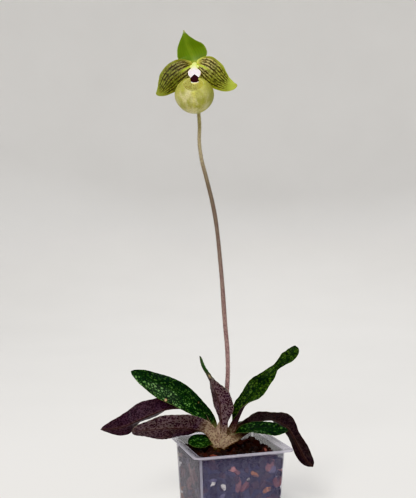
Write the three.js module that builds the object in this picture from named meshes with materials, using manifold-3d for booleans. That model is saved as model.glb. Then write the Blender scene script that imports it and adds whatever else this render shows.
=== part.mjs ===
// A slipper orchid, Paphiopedilum malipoense, in flower and growing in a clear square pot.
//
// The pot stands on z = 0 with its sides along X and Y, centred on the origin. The plant grows from a
// crown near the middle of the potting mix. Its own group has its origin on the mix at the crown, with
// -Y the way the flower faces, and is turned a little against the pot. Sizes are in millimetres.

import * as THREE from "three";
import { mergeVertices } from "three/addons/utils/BufferGeometryUtils.js";
import Module from "manifold-3d";

const wasm = await Module();
wasm.setup();

// ---------------------------------------------------------------- driving dimensions

const GAP = 0.3; // left between pieces that touch
const POT = {
  rimSide: 100,
  topSide: 87, // outside of the wall, under the rim
  baseSide: 76.5,
  height: 95,
  wall: 1.2,
  floor: 1.8,
  edge: 1, // the eased edges round the base, the floor and the rim's root
  corner: 5.5, // outer corner radius at the top of the wall
  baseCorner: 4.4,
  rimCorner: 6,
  rimRise: 1.6, // the rim's outer edge stands this much above its root
  rimThick: 1.3,
  beadDrop: 1.9, // depth of the rolled edge
  beadRound: 0.6,
};
const DRAIN = { radius: 3.5, ring: 24, count: 8, sides: 16 };
const MIX_TOP = 86; // height of the potting mix
const CROWN_AT = [-7.8, 8.2]; // where the plant stands, in the pot's frame
const PLANT_TURN = -17.5; // degrees, from the pot's X to the plant's X
// where the flower's parts meet, in the plant's frame, and its lean to the left and nod forward in degrees
const FLOWER = { at: [-23.8, -14, 381], roll: -8, nod: 8 };

const COLOR = {
  pot: 0xb9bcc8,
  mix: 0x4a2a1e,
  root: 0x8a6a48,
  crown: 0x9a8f6c,
  leafTop: 0x2f6a22,
  leafUnder: 0x5a3340,
  scape: 0x8a6258,
  ovary: 0x9aa05a,
  bract: 0x7d9a3c,
  sepal: 0x6f9416,
  petal: 0x98a83a,
  pouch: 0xc0c26e,
  column: 0xe6e2a4,
  staminode: 0xf2e6ee,
};

// ---------------------------------------------------------------- helpers

const vec = (p) => new THREE.Vector3(...p);
const rad = THREE.MathUtils.degToRad;
const mix = THREE.MathUtils.lerp;

// A repeatable stream of numbers from 0 to 1.
function randomStream(seed) {
  let state = seed;
  return () => {
    state = (state * 1664525 + 1013904223) % 4294967296;
    return state / 4294967296;
  };
}

// The smooth value at t through [t, value] stops, which never overshoots them.
function through(stops, t) {
  const last = stops.length - 1;
  const slope = (k) => (stops[k + 1][1] - stops[k][1]) / (stops[k + 1][0] - stops[k][0]);
  const tangent = (k) => {
    if (k === 0) return slope(0);
    if (k === last) return slope(last - 1);
    const before = slope(k - 1);
    const after = slope(k);
    return before * after <= 0 ? 0 : (2 * before * after) / (before + after);
  };
  let i = 0;
  while (i < last - 1 && t > stops[i + 1][0]) i += 1;
  const [t0, v0] = stops[i];
  const [t1, v1] = stops[i + 1];
  const h = t1 - t0;
  const u = THREE.MathUtils.clamp((t - t0) / h, 0, 1);
  const rise = u * u * (3 - 2 * u);
  return (
    v0 * (1 - rise) +
    v1 * rise +
    h * (tangent(i) * u * (1 - u) * (1 - u) - tangent(i + 1) * u * u * (1 - u))
  );
}

function geometryFrom(points, faces) {
  const geometry = new THREE.BufferGeometry();
  geometry.setAttribute(
    "position",
    new THREE.Float32BufferAttribute(points.flatMap((p) => [p.x, p.y, p.z]), 3),
  );
  geometry.setIndex(faces.flat());
  return geometry;
}

// A closed body through rings of equally many points, each counter-clockwise seen from the last ring.
function loft(rings) {
  const n = rings[0].length;
  const points = rings.flat();
  const faces = [];
  for (let r = 0; r < rings.length - 1; r += 1) {
    for (let k = 0; k < n; k += 1) {
      const a = r * n + k;
      const b = r * n + ((k + 1) % n);
      faces.push([a, b, b + n], [a, b + n, a + n]);
    }
  }
  for (const [ring, turned] of [[0, true], [rings.length - 1, false]]) {
    const centre = new THREE.Vector3();
    rings[ring].forEach((p) => centre.add(p));
    points.push(centre.divideScalar(n));
    for (let k = 0; k < n; k += 1) {
      const a = ring * n + k;
      const b = ring * n + ((k + 1) % n);
      faces.push(turned ? [points.length - 1, b, a] : [points.length - 1, a, b]);
    }
  }
  return geometryFrom(points, faces);
}

// A round stem along a curve: radiusAt gives its radius by the share of its length and the side's number.
function stem(points, radiusAt, sides, steps, grow = 0) {
  const curve = new THREE.CatmullRomCurve3(points.map(vec), false, "centripetal");
  const frames = curve.computeFrenetFrames(steps, false);
  const rings = [];
  for (let i = 0; i <= steps; i += 1) {
    const centre = curve.getPointAt(i / steps);
    if (i === 0) centre.addScaledVector(frames.tangents[0], -grow);
    if (i === steps) centre.addScaledVector(frames.tangents[steps], grow);
    const ring = [];
    for (let k = 0; k < sides; k += 1) {
      const angle = (2 * Math.PI * k) / sides;
      const radius = radiusAt(i / steps, k) + grow;
      ring.push(
        centre
          .clone()
          .addScaledVector(frames.normals[i], radius * Math.cos(angle))
          .addScaledVector(frames.binormals[i], radius * Math.sin(angle)),
      );
    }
    rings.push(ring);
  }
  return loft(rings);
}

const KEEL_ROUND = 0.02; // how softly a blade is folded along its midrib
const EDGE_THIN = 0.4; // share by which a blade thins out to its edges

// The share of its length at which a curve passes its second point.
function shareAtSecond(curve) {
  const fineness = 40;
  const lengths = curve.getLengths(fineness * (curve.points.length - 1));
  return lengths[fineness] / lengths.at(-1);
}

// The curved sheet of a leaf, petal or sepal. t runs from base to tip and s from edge to edge.
// It is folded along its midrib, rolled about it and waved at its edges. In a blade that clasps the stem
// the first stretch of the spine is its sheath, and the stops of its tables count from the sheath's top.
function bladeSurface(form) {
  const spine = new THREE.CatmullRomCurve3(form.spine.map(vec), false, "centripetal");
  const sheath = form.clasps ? shareAtSecond(spine) : 0;
  const chord = vec(form.spine.at(-1)).sub(vec(form.spine[0]));
  const sideways = form.side ? vec(form.side) : new THREE.Vector3(chord.y, -chord.x, 0).normalize();
  const wave = form.wave ?? { size: 0, count: 0, phase: 0 };
  return (t, s) => {
    const share = THREE.MathUtils.clamp(t, 0, 1);
    const along = (share - sheath) / (1 - sheath);
    const tangent = spine.getTangentAt(share);
    const side = sideways.clone().addScaledVector(tangent, -sideways.dot(tangent)).normalize();
    const up = side.clone().cross(tangent);
    const roll = rad(through(form.roll ?? [[0, 0], [1, 0]], along));
    const across = side.clone().multiplyScalar(Math.cos(roll)).addScaledVector(up, Math.sin(roll));
    const lift = up.multiplyScalar(Math.cos(roll)).addScaledVector(side, -Math.sin(roll));
    const half = through(form.half, along);
    const fold = rad(through(form.fold ?? [[0, 0], [1, 0]], along));
    const keel = Math.sqrt(s * s + KEEL_ROUND) - Math.sqrt(KEEL_ROUND);
    const ripple =
      wave.size *
      Math.abs(s) ** 1.5 *
      Math.sin(2 * Math.PI * wave.count * along + wave.phase + (s > 0 ? 0 : 2)) *
      Math.min(1, 4 * Math.max(0, along), 5 * (1 - along) + 0.15);
    return spine
      .getPointAt(share)
      .addScaledVector(across, half * s * Math.cos(fold))
      .addScaledVector(lift, half * keel * Math.sin(fold) + ripple);
  };
}

// A blade as a closed sheet of even triangles, thinner at its edges.
function blade(form, grow = 0) {
  const { steps = 18, across = 6, thick = 1.2 } = form;
  const surface = bladeSurface(form);
  const step = 1e-3;
  const faces = [];
  const sheets = [[], []];
  for (let i = 0; i <= steps; i += 1) {
    for (let j = 0; j <= across; j += 1) {
      const t = i / steps;
      const s = (2 * j) / across - 1;
      const along = surface(Math.min(t + step, 1), s).sub(surface(Math.max(t - step, 0), s));
      const over = surface(t, s + step).sub(surface(t, s - step));
      const normal = over.clone().cross(along).normalize();
      const half = (thick / 2) * (1 - EDGE_THIN * s * s) + grow;
      const point = surface(t, s).addScaledVector(over.normalize(), Math.abs(s) === 1 ? s * grow : 0);
      if (i === 0) point.addScaledVector(along.normalize(), -grow);
      if (i === steps) point.addScaledVector(along.normalize(), grow);
      sheets[0].push(point.clone().addScaledVector(normal, half));
      sheets[1].push(point.addScaledVector(normal, -half));
    }
  }
  const row = across + 1;
  const under = sheets[0].length;
  const quad = (a, b, c, d) => faces.push([a, b, c], [a, c, d]);
  for (let i = 0; i < steps; i += 1) {
    for (let j = 0; j < across; j += 1) {
      const a = i * row + j;
      faces.push([a, a + 1, a + row + 1], [a, a + row + 1, a + row]);
      faces.push([under + a, under + a + row + 1, under + a + 1]);
      faces.push([under + a, under + a + row, under + a + row + 1]);
    }
    const left = i * row;
    const right = left + across;
    quad(left, left + row, under + left + row, under + left);
    quad(right, under + right, under + right + row, right + row);
  }
  for (let j = 0; j < across; j += 1) {
    const tip = steps * row + j;
    quad(j, under + j, under + j + 1, j + 1);
    quad(tip, tip + 1, under + tip + 1, under + tip);
  }
  return geometryFrom(sheets.flat(), faces);
}

// A geometry as a manifold-3d solid, and back.
function solidOf(geometry) {
  const bare = geometry.clone();
  bare.deleteAttribute("normal");
  bare.deleteAttribute("uv");
  const merged = mergeVertices(bare, 1e-4);
  return new wasm.Manifold(
    new wasm.Mesh({
      numProp: 3,
      vertProperties: merged.attributes.position.array,
      triVerts: new Uint32Array(merged.index.array),
    }),
  );
}

function geometryOf(solid) {
  const { vertProperties, triVerts, numProp } = solid.getMesh();
  const positions = new Float32Array((vertProperties.length / numProp) * 3);
  for (let i = 0; i < positions.length / 3; i += 1) {
    positions.set(vertProperties.subarray(i * numProp, i * numProp + 3), i * 3);
  }
  const geometry = new THREE.BufferGeometry();
  geometry.setAttribute("position", new THREE.BufferAttribute(positions, 3));
  geometry.setIndex(new THREE.BufferAttribute(triVerts, 1));
  return geometry;
}

const largest = (solid) =>
  solid.decompose().reduce((best, body) => (body.volume() > best.volume() ? body : best));

function mesh(name, solid, color, roughness = 0.55, extra = {}) {
  const geometry = geometryOf(solid).toNonIndexed();
  geometry.computeVertexNormals();
  const material = new THREE.MeshStandardMaterial({ color, roughness, metalness: 0, ...extra });
  const made = new THREE.Mesh(geometry, material);
  made.name = name;
  return made;
}

// Pieces made in order, where each gives way to all before it by GAP: {name, make(grow), color}.
function fitted(pieces, standing = []) {
  const taken = [...standing];
  return pieces.map((piece) => {
    const solid = largest(taken.reduce((left, other) => left.subtract(other), piece.make(0)));
    taken.push(piece.make(GAP));
    return { ...piece, solid };
  });
}

// ---------------------------------------------------------------- pot

// A square of the given side with round corners, counter-clockwise from above.
function squareRing(side, corner, z, arcs = 4) {
  const ring = [];
  const inset = side / 2 - corner;
  for (let quarter = 0; quarter < 4; quarter += 1) {
    const [sx, sy] = [[1, 1], [-1, 1], [-1, -1], [1, -1]][quarter];
    for (let k = 0; k <= arcs; k += 1) {
      const angle = (Math.PI / 2) * (quarter + k / arcs);
      ring.push(
        new THREE.Vector3(
          sx * inset + corner * Math.cos(angle),
          sy * inset + corner * Math.sin(angle),
          z,
        ),
      );
    }
  }
  return ring;
}

// The outside of the tapering wall at height z.
const wallSide = (z) => mix(POT.baseSide, POT.topSide, z / (POT.height - POT.rimRise));
const wallCorner = (z) => mix(POT.baseCorner, POT.corner, z / POT.height);

function potSolid() {
  const { rimSide, rimCorner, height, wall, floor, edge, rimRise, rimThick, beadDrop, beadRound } = POT;
  const root = height - rimRise;
  const inner = (z) => squareRing(wallSide(z) - 2 * wall, wallCorner(z) - wall, z);
  const outer = (z, side = wallSide(z)) => squareRing(side, wallCorner(z) + (side - wallSide(z)) / 2, z);
  const rim = (z, inset) => squareRing(rimSide - 2 * inset, rimCorner - inset, z);
  let pot = solidOf(
    loft([
      outer(0, wallSide(0) - 2 * edge),
      outer(edge),
      outer(root - rimThick - edge),
      outer(root - rimThick, POT.topSide + edge),
      rim(height - rimThick, rimThick),
      rim(height - beadDrop, rimThick),
      rim(height - beadDrop, beadRound / 2),
      rim(height - beadDrop + beadRound, 0),
      rim(height - beadRound, 0),
      rim(height, beadRound),
      inner(root),
      inner(floor + edge),
      squareRing(wallSide(floor) - 2 * wall - 2 * edge, wallCorner(floor) - wall, floor),
    ]),
  );
  for (let i = 0; i < DRAIN.count; i += 1) {
    const angle = (2 * Math.PI * i) / DRAIN.count;
    const drill = new THREE.CylinderGeometry(DRAIN.radius, DRAIN.radius, 4 * floor, DRAIN.sides);
    drill.rotateX(Math.PI / 2);
    drill.translate(DRAIN.ring * Math.cos(angle), DRAIN.ring * Math.sin(angle), 0);
    pot = pot.subtract(solidOf(drill));
  }
  return pot;
}

// ---------------------------------------------------------------- potting mix: bark and pumice in one bed

// sink: how far the bed lies below the tops of the chunks; inset: how far in from their outer faces
const CHUNK = {
  least: 7.5,
  most: 11,
  barkScale: 1.25,
  sink: 4.6,
  inset: 2.6,
  topPitch: 15.6,
  sidePitch: 22.5,
  stray: 3,
  knock: [0.82, 1.18], // how far its corners are pushed in or out
  wide: [0.9, 1.4],
  deep: [0.75, 1.05],
  high: [0.55, 0.8],
};

// A rough stone or piece of bark: a plain solid stretched, turned and knocked out of true.
function chunk(block, centre, size, random) {
  const lump = mergeVertices(block.clone().deleteAttribute("normal").deleteAttribute("uv"), 1e-3);
  const position = lump.getAttribute("position");
  for (let i = 0; i < position.count; i += 1) {
    const push = mix(...CHUNK.knock, random());
    position.setXYZ(i, position.getX(i) * push, position.getY(i) * push, position.getZ(i) * push);
  }
  const [wide, deep, high] = [CHUNK.wide, CHUNK.deep, CHUNK.high].map((range) => mix(...range, random()));
  lump.scale(size * wide, size * deep, size * high);
  lump.rotateX(2 * Math.PI * random());
  lump.rotateY(2 * Math.PI * random());
  lump.rotateZ(2 * Math.PI * random());
  lump.translate(...centre);
  return solidOf(lump);
}

function mixSolid() {
  const { floor, wall } = POT;
  const { least, most, sink, inset, topPitch, sidePitch } = CHUNK;
  const seat = floor + POT.edge + GAP; // clear of the rounded edge round the pot's floor
  const random = randomStream(17);
  const bed = (clear, low, high) =>
    solidOf(
      loft(
        [low, high].map((z) => squareRing(wallSide(z) - 2 * wall - 2 * clear, wallCorner(z) - wall, z)),
      ),
    );
  const lumps = [bed(inset, floor + inset, MIX_TOP - sink)];
  const size = () => mix(least, most, random());
  const stray = (share = 1) => CHUNK.stray * share * (2 * random() - 1);
  const reach = (z) => wallSide(z) / 2 - wall - inset;
  const stone = new THREE.IcosahedronGeometry(1, 0);
  const bark = new THREE.OctahedronGeometry(CHUNK.barkScale, 0);
  for (let x = -2 * topPitch; x < 2.5 * topPitch; x += topPitch) {
    for (let y = -2 * topPitch; y < 2.5 * topPitch; y += topPitch) {
      lumps.push(chunk(stone, [x + stray(), y + stray(), MIX_TOP - sink + stray(0.5)], size(), random));
    }
  }
  for (let z = seat + sidePitch / 2; z < MIX_TOP - sink; z += sidePitch) {
    for (let u = 0.5 * sidePitch - reach(z); u < reach(z); u += sidePitch) {
      for (let side = 0; side < 4; side += 1) {
        const at = new THREE.Vector3(u + stray(), reach(z), z + stray());
        at.applyAxisAngle(new THREE.Vector3(0, 0, 1), (side * Math.PI) / 2);
        lumps.push(chunk(bark, at.toArray(), CHUNK.barkScale * size(), random));
      }
    }
  }
  return wasm.Manifold.union(lumps).intersect(bed(GAP, seat, MIX_TOP + sink));
}

// ---------------------------------------------------------------- crown, roots and scape

// The short stem that the leaves clasp, as ellipses: [height, half width, half depth, shift to the right].
const CROWN = [
  [-7, 4.6, 4.2, 0],
  [0, 5.2, 4.8, 0.2],
  [6, 5.8, 5.4, 0.8],
  [12, 6.4, 5.8, 1.8],
  [18, 6.4, 5.6, 3],
  [23, 5.4, 5, 4.2],
  [27, 4.2, 4, 5],
];
const CROWN_RIB = { crest: 1.05, furrow: 0.97 };

function crownGeometry(grow = 0) {
  const sides = 16;
  return loft(
    CROWN.map(([z, wide, deep, shift], i) => {
      const end = i === 0 ? -grow : i === CROWN.length - 1 ? grow : 0;
      return Array.from({ length: sides }, (_, k) => {
        const angle = (2 * Math.PI * k) / sides;
        const ridge = k % 2 ? CROWN_RIB.crest : CROWN_RIB.furrow;
        return new THREE.Vector3(
          shift + (wide * ridge + grow) * Math.cos(angle),
          (deep * ridge + grow) * Math.sin(angle),
          z + end,
        );
      });
    }),
  );
}

const ROOT = { count: 7, base: 2, taper: 0.8, reach: [16, 25], depth: [38, 64] };
const KNUCKLE = { path: [[-1, 0, -7 - GAP], [-1, 0, -12], [-1, 0, -17]], radius: 5 };

// Fleshy roots that spread from a knuckle under the crown and run down through the mix.
function rootsSolid(grow = 0) {
  const random = randomStream(5);
  const parts = [solidOf(stem(KNUCKLE.path, () => KNUCKLE.radius, 8, 2, grow))];
  for (let i = 0; i < ROOT.count; i += 1) {
    const angle = (2 * Math.PI * (i + 0.4 * random())) / ROOT.count;
    const reach = mix(...ROOT.reach, random());
    const depth = mix(...ROOT.depth, random());
    const at = (share, drop) => [
      reach * share * Math.cos(angle + 0.3 * share) + KNUCKLE.path[0][0],
      reach * share * Math.sin(angle + 0.3 * share),
      -drop,
    ];
    const path = [at(0.08, 13), at(0.5, 17), at(0.85, 27), at(1, depth * 0.75), at(0.8, depth)];
    parts.push(solidOf(stem(path, (t) => ROOT.base - ROOT.taper * t, 6, 8, grow)));
  }
  return wasm.Manifold.union(parts);
}

// The tall flower stem. It leans one way, then the other, and stands in the crown.
const SCAPE = {
  path: [
    [4.2, 0, 10], [7.5, 0, 48], [9.3, 0, 77], [8.8, 0, 100], [6.6, 0, 125], [2.7, 0, 177], [-2.2, 0, 225],
    [-6, 0, 246], [-11.7, 0, 269], [-17, 0, 290], [-19.2, 0, 307], [-19, 1, 324], [-20.5, 2.5, 345],
  ],
  radius: [[0, 2.3], [0.5, 2.1], [1, 1.75]],
};
const scapeGeometry = (grow = 0) =>
  stem(SCAPE.path, (t) => through(SCAPE.radius, t), 8, 40, grow);

// ---------------------------------------------------------------- leaves

// In the order in which they clasp the crown, innermost first. The spine runs along the midrib. Roll
// above zero lifts the edge on the right of someone who looks along the leaf to its tip. The colour is
// that of the face which the leaf shows in front: its upper side, or its underside where it says so.
const LEAVES = [
  {
    name: "leaf_centre_upright",
    under: true,
    spine: [
      [1.2, -5, 2], [2.6, -7, 15], [2.8, -11, 37], [1.6, -14, 46.7], [-0.4, -18, 54.4], [-3.7, -22, 63],
      [-7.8, -27, 71.6], [-11.8, -31, 80], [-16, -34, 88], [-18.6, -36, 98],
    ],
    half: [
      [-0.14, 9], [-0.03, 7.4], [0.07, 5.4], [0.15, 6.4], [0.22, 9.2], [0.32, 13.4],
      [0.5, 13.4], [0.64, 9], [0.75, 5.4], [0.88, 4.4], [1, 1.4],
    ],
    roll: [[0, 0], [0.5, 8], [0.72, 30], [1, 62]],
    fold: [[-0.14, 36], [0.02, 46], [0.3, 22], [0.7, 30], [1, 45]],
  },
  {
    name: "leaf_left_upper",
    spine: [
      [-4.6, 1.6, 2], [-5.6, 3, 14], [-9.6, 6, 25], [-21.1, 8, 38.6], [-36, 9.2, 51], [-54.8, 13.4, 60.2],
      [-73.2, 18.4, 67.4], [-90, 22, 74],
    ],
    half: [[-0.1, 8], [0, 6.4], [0.2, 9.4], [0.45, 13.6], [0.65, 13.8], [0.85, 9.8], [0.96, 4.2], [1, 1.4]],
    roll: [[-0.1, 0], [0, 6], [0.3, 40], [0.7, 50], [1, 45]],
    fold: [[-0.1, 42], [0, 55], [0.15, 34], [0.3, 2], [0.45, -12], [0.7, -14], [1, 0]],
    wave: { size: 1.2, count: 2.2, phase: 0.5 },
  },
  {
    name: "leaf_right_upper",
    spine: [
      [5.6, 2.2, 2], [11, 3.6, 9.5], [16.6, 5, 18.7], [19.4, 6.5, 27.3], [22.9, 8, 35], [27.4, 11, 42.5],
      [32.8, 15, 49], [39.6, 21, 56.4], [50, 30, 65.4], [60.2, 36, 75.6], [67.8, 40, 81.5], [76.6, 45, 86.8],
      [81, 47.4, 92.2], [82.3, 49, 97.2],
    ],
    half: [
      [-0.08, 8], [0, 8], [0.1, 8], [0.2, 8.6], [0.3, 11.4], [0.42, 11.2], [0.59, 8.8], [0.69, 5],
      [0.73, 3.6], [0.8, 4.8], [0.87, 7.6], [0.94, 7], [0.98, 4.6], [1, 2.4],
    ],
    roll: [
      [-0.08, 0], [0, 36], [0.1, 45], [0.2, 25], [0.3, -8], [0.38, -26], [0.55, -32], [0.73, -62],
      [0.86, -40], [1, -30],
    ],
    fold: [[-0.08, 42], [0, 50], [0.1, 50], [0.2, 42], [0.3, 26], [0.38, 16], [0.7, 8], [1, 8]],
    wave: { size: 2.1, count: 3.4, phase: 1.2 },
    steps: 24,
  },
  {
    name: "leaf_left_far",
    under: true,
    spine: [
      [-5, 2.8, 3], [-7.4, 4.8, 12], [-18, 12, 27], [-35, 20, 35.6], [-55, 26, 33.6], [-68.8, 29, 28],
      [-82.3, 31, 21.8], [-92, 33, 17], [-102.6, 34, 13.4], [-123.3, 36, 10.5],
    ],
    half: [
      [-0.1, 8], [0, 6.4], [0.2, 12], [0.42, 15], [0.6, 16], [0.74, 14.4], [0.86, 11.4], [0.96, 4.8],
      [1, 1.4],
    ],
    roll: [[-0.1, 0], [0, -10], [0.3, -48], [0.6, -54], [0.72, -58], [0.82, -66], [0.9, -60], [1, -50]],
    fold: [[-0.1, 42], [0, 55], [0.3, 46], [0.6, 44], [0.72, 44], [0.82, 12], [1, 6]],
    wave: { size: 1.8, count: 3, phase: 0 },
  },
  {
    name: "leaf_right_arching",
    under: true,
    spine: [
      [7, 3.4, 2.6], [9.4, 5.6, 8.6], [21, 14, 15.6], [32.8, 22, 18.8], [41.5, 29, 20.6], [50.3, 35, 21],
      [58.6, 41, 19.4], [66.8, 46, 15], [75.2, 51, 8.4], [81, 54, -0.8], [86.2, 56, -11], [91.4, 58, -21],
      [96.4, 59, -29], [103, 60, -35.6],
    ],
    half: [
      [-0.1, 7.5], [0, 6.4], [0.2, 10.8], [0.42, 12.8], [0.56, 12], [0.68, 8.4], [0.84, 8.8], [0.94, 7.6],
      [0.98, 4.8], [1, 2],
    ],
    roll: [[-0.1, 0], [0, 10], [0.2, 30], [0.4, 26], [0.6, 38], [1, 44]],
    fold: [[-0.1, 42], [0, 55], [0.25, 40], [0.6, 26], [1, 12]],
    wave: { size: 1.6, count: 3.5, phase: 2 },
    steps: 24,
  },
  {
    name: "leaf_left_front",
    under: true,
    spine: [
      [-5, -3.8, 1], [-7, -5.4, 9], [-14.5, -10.4, 19.6], [-28, -20, 25], [-45, -31, 28.2],
      [-65, -42, 29.4], [-82, -50, 29.8],
    ],
    half: [
      [-0.1, 9], [0, 9.4], [0.1, 10.6], [0.2, 12], [0.32, 13.2], [0.45, 15], [0.66, 13.8], [0.84, 10.4],
      [0.94, 7.4], [0.98, 4.6], [1, 2],
    ],
    roll: [[-0.1, 0], [0, -14], [0.25, -52], [0.6, -64], [1, -55]],
    fold: [[-0.1, 42], [0, 52], [0.25, 20], [0.6, 8], [1, 8]],
    wave: { size: 0.9, count: 2.5, phase: 1 },
  },
  {
    name: "leaf_right_lower",
    spine: [
      [5.4, -4.4, 1], [7, -5, 3.4], [11, -5.6, 5.8], [18.3, -7, 10.2], [24.4, -8.4, 15.4],
      [31.4, -10, 20.2], [38, -11, 22.4], [48.5, -13, 22.6], [59.3, -14, 21.5], [68.6, -14, 22.1],
    ],
    half: [
      [-0.06, 8], [0, 8], [0.12, 9.4], [0.24, 10.6], [0.34, 10.2], [0.45, 8.8], [0.6, 8.2], [0.78, 8.2],
      [0.92, 4.6], [1, 1.2],
    ],
    roll: [[-0.06, 0], [0.1, 30], [0.2, 14], [0.3, -6], [0.42, -24], [0.6, -34], [0.8, -38], [1, -30]],
    fold: [[-0.06, 42], [0, 48], [0.3, 48], [0.45, 32], [0.6, 15], [1, 10]],
    steps: 18,
  },
  {
    name: "leaf_front_small",
    spine: [[-5.4, -6.4, 0.6], [-7, -7.4, 5.4], [-12.5, -9.4, 9.2], [-20.3, -13, 10.2], [-30, -17, 10.8]],
    half: [[-0.3, 4.4], [0, 4], [0.26, 7], [0.55, 8], [0.8, 6.6], [0.95, 3.4], [1, 1.6]],
    roll: [[-0.3, 0], [0, 20], [0.4, 42], [1, 42]],
    fold: [[-0.3, 40], [0, 40], [0.4, 12], [1, 8]],
    steps: 14,
  },
];

// ---------------------------------------------------------------- flower, in its own frame

const PETAL = {
  fold: [[0, 28], [0.3, -6], [0.7, -10], [1, 10]],
  wave: { size: 0.5, count: 1.6, phase: 0.8 },
  thick: 1,
  steps: 15,
  across: 6,
};
const PETAL_LEFT = {
  ...PETAL,
  side: [-0.5, 0, 0.86],
  spine: [
    [-1.8, -1, 0.2], [-9.7, -2, -3.2], [-18.8, -3.4, -7.5], [-25.4, -4, -12], [-30, -4.2, -16.3],
    [-34.4, -4, -20], [-38.4, -3.4, -22.2], [-41.4, -3, -23.2],
  ],
  half: [
    [0, 4.2], [0.18, 11.4], [0.3, 13.2], [0.4, 13.6], [0.58, 12.4], [0.7, 10.2], [0.84, 6.6], [0.94, 3.4],
    [1, 1],
  ],
};
const PETAL_RIGHT = {
  ...PETAL,
  side: [-0.6, 0, -0.8],
  spine: [
    [1.8, -1, 0.2], [6.8, -1.6, -2.2], [10.9, -2.4, -5.1], [16.2, -3.4, -10.9], [22.8, -4, -18.5],
    [27.3, -4, -22.4], [31, -3.6, -24.3], [35.2, -3, -25.5], [39, -2.4, -25.4],
  ],
  half: [
    [0, 4.2], [0.12, 9.8], [0.23, 12.8], [0.4, 13.2], [0.6, 10.4], [0.74, 8], [0.84, 6], [0.93, 3.4],
    [1, 1],
  ],
};
const SEPAL = {
  spine: [
    [0, 1.6, 1.4], [-0.6, 2.8, 9.7], [-2.2, 2.2, 14.6], [-3.7, 0.8, 19.2], [-4.8, -1.4, 24.6],
    [-5.4, -3.6, 29.8], [-5.8, -4.8, 33.8],
  ],
  half: [
    [0, 5], [0.12, 12.6], [0.24, 15], [0.39, 14.4], [0.54, 12], [0.71, 7.4], [0.86, 2.9], [0.94, 1.2],
    [1, 0.6],
  ],
  fold: [[0, 6], [0.3, 9], [0.7, 16], [1, 16]],
  side: [1, 0, 0],
  thick: 1,
  steps: 14,
  across: 6,
};
const SYNSEPAL = {
  spine: [[0, 2.6, -3.4], [0, 7.4, -12], [0, 10.4, -25], [0, 8, -39]],
  half: [[0, 3.4], [0.2, 9], [0.45, 11.5], [0.7, 9.2], [0.9, 4], [1, 0.9]],
  fold: [[0, 30], [0.4, 10], [1, 12]],
  side: [-1, 0, 0],
  thick: 1,
  steps: 12,
  across: 6,
};
// The lip and all that hangs with it are plumb while the rest of the flower leans: degrees it swings.
const SWING = 8;
const POUCH = {
  centre: [0.1, -14, -29.8],
  radius: [19.1, 18.8, 18.1], // half width, half depth, half height below the middle
  crest: 17, // half height above the middle
  taper: 0.07, // share by which it narrows towards the toe
  mouthTilt: 41, // degrees that the mouth leans forward
  mouthTurn: -5, // degrees that it is turned to the left
  mouthPinch: 4, // degrees by which its sides are drawn in
  wall: 1,
  // the lip rolls inward: [degrees from the mouth's axis, share of the radius]
  lip: [[46, 1], [42, 0.985], [38.5, 0.945], [37, 0.895], [38.2, 0.865], [40.5, 0.88], [44, 0.925]],
  segments: 24,
  rings: 8,
  // the strap that joins the back of its mouth to the column
  claw: {
    spine: [[0, -1.2, -3.4], [0, -2.4, -6.8], [0, -5.6, -10.6], [0, -11.6, -13.2]],
    half: [[0, 2.2], [0.4, 3.6], [1, 6]],
    fold: [[0, -20], [1, -8]],
    side: [1, 0, 0],
    thick: 1.3,
    steps: 6,
    across: 4,
  },
};
// The column carries an anther on each side and the stigma below.
const COLUMN = {
  path: [[0, 0.4, 0], [0, -4.5, -0.8], [0, -9, -3.6]],
  radius: [[0, 2.5], [0.5, 2.5], [1, 2.1]],
  anther: { radius: 1.6, at: [2.7, -5.6, -2.4] },
  stigma: { radius: [3, 2.6, 1.4], tilt: 20, at: [0, -6.2, -5.6] },
};
const STAMINODE = {
  spine: [[0, -8.8, -1.6], [0, -12.4, -4.8], [0.2, -15.2, -10.2], [0.5, -16.8, -15.4], [0.9, -17.4, -20.6]],
  half: [[0, 2], [0.14, 3.2], [0.36, 6.3], [0.5, 6], [0.62, 4.4], [0.78, 4.2], [0.92, 3.2], [1, 1.6]],
  fold: [[0, -25], [0.4, -18], [1, -10]],
  side: [-1, 0, 0],
  thick: 1.4,
  steps: 12,
  across: 6,
};

const swung = (solid) => solid.rotate([0, SWING, 0]);

function pouchSolid(grow = 0) {
  const { centre, radius, crest, taper, wall, lip, segments, rings } = POUCH;
  const { mouthTilt, mouthTurn, mouthPinch } = POUCH;
  const brim = lip[0][0];
  const inside = 1 - wall / radius[0]; // share of the radius
  const profile = [];
  for (let i = 1; i <= rings; i += 1) profile.push([mix(180, brim, i / rings), 1]);
  profile.push(...lip.slice(1));
  for (let i = 1; i < rings; i += 1) profile.push([mix(brim, 180, i / rings), inside]);
  const tilt = new THREE.Matrix4().makeRotationX(rad(mouthTilt));
  tilt.premultiply(new THREE.Matrix4().makeRotationY(rad(mouthTurn)));
  const place = (degrees, turn, share) => {
    const polar = degrees - mouthPinch * Math.cos(turn) ** 2 * ((180 - degrees) / (180 - brim));
    const p = new THREE.Vector3(
      Math.sin(rad(polar)) * Math.cos(turn),
      Math.sin(rad(polar)) * Math.sin(turn),
      Math.cos(rad(polar)),
    ).applyMatrix4(tilt);
    const narrow = 1 - taper * Math.max(0, -p.z) ** 2;
    const height = p.z > 0 ? crest : radius[2];
    return new THREE.Vector3(
      centre[0] + p.x * narrow * (radius[0] * share + grow),
      centre[1] + p.y * (radius[1] * share + grow),
      centre[2] + p.z * (height * share + grow),
    );
  };
  const ringsOf = profile.map(([polar, share]) =>
    Array.from({ length: segments }, (_, k) => place(polar, (2 * Math.PI * k) / segments, share)),
  );
  return swung(solidOf(loft(ringsOf)).add(solidOf(blade(POUCH.claw, grow))));
}

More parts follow.
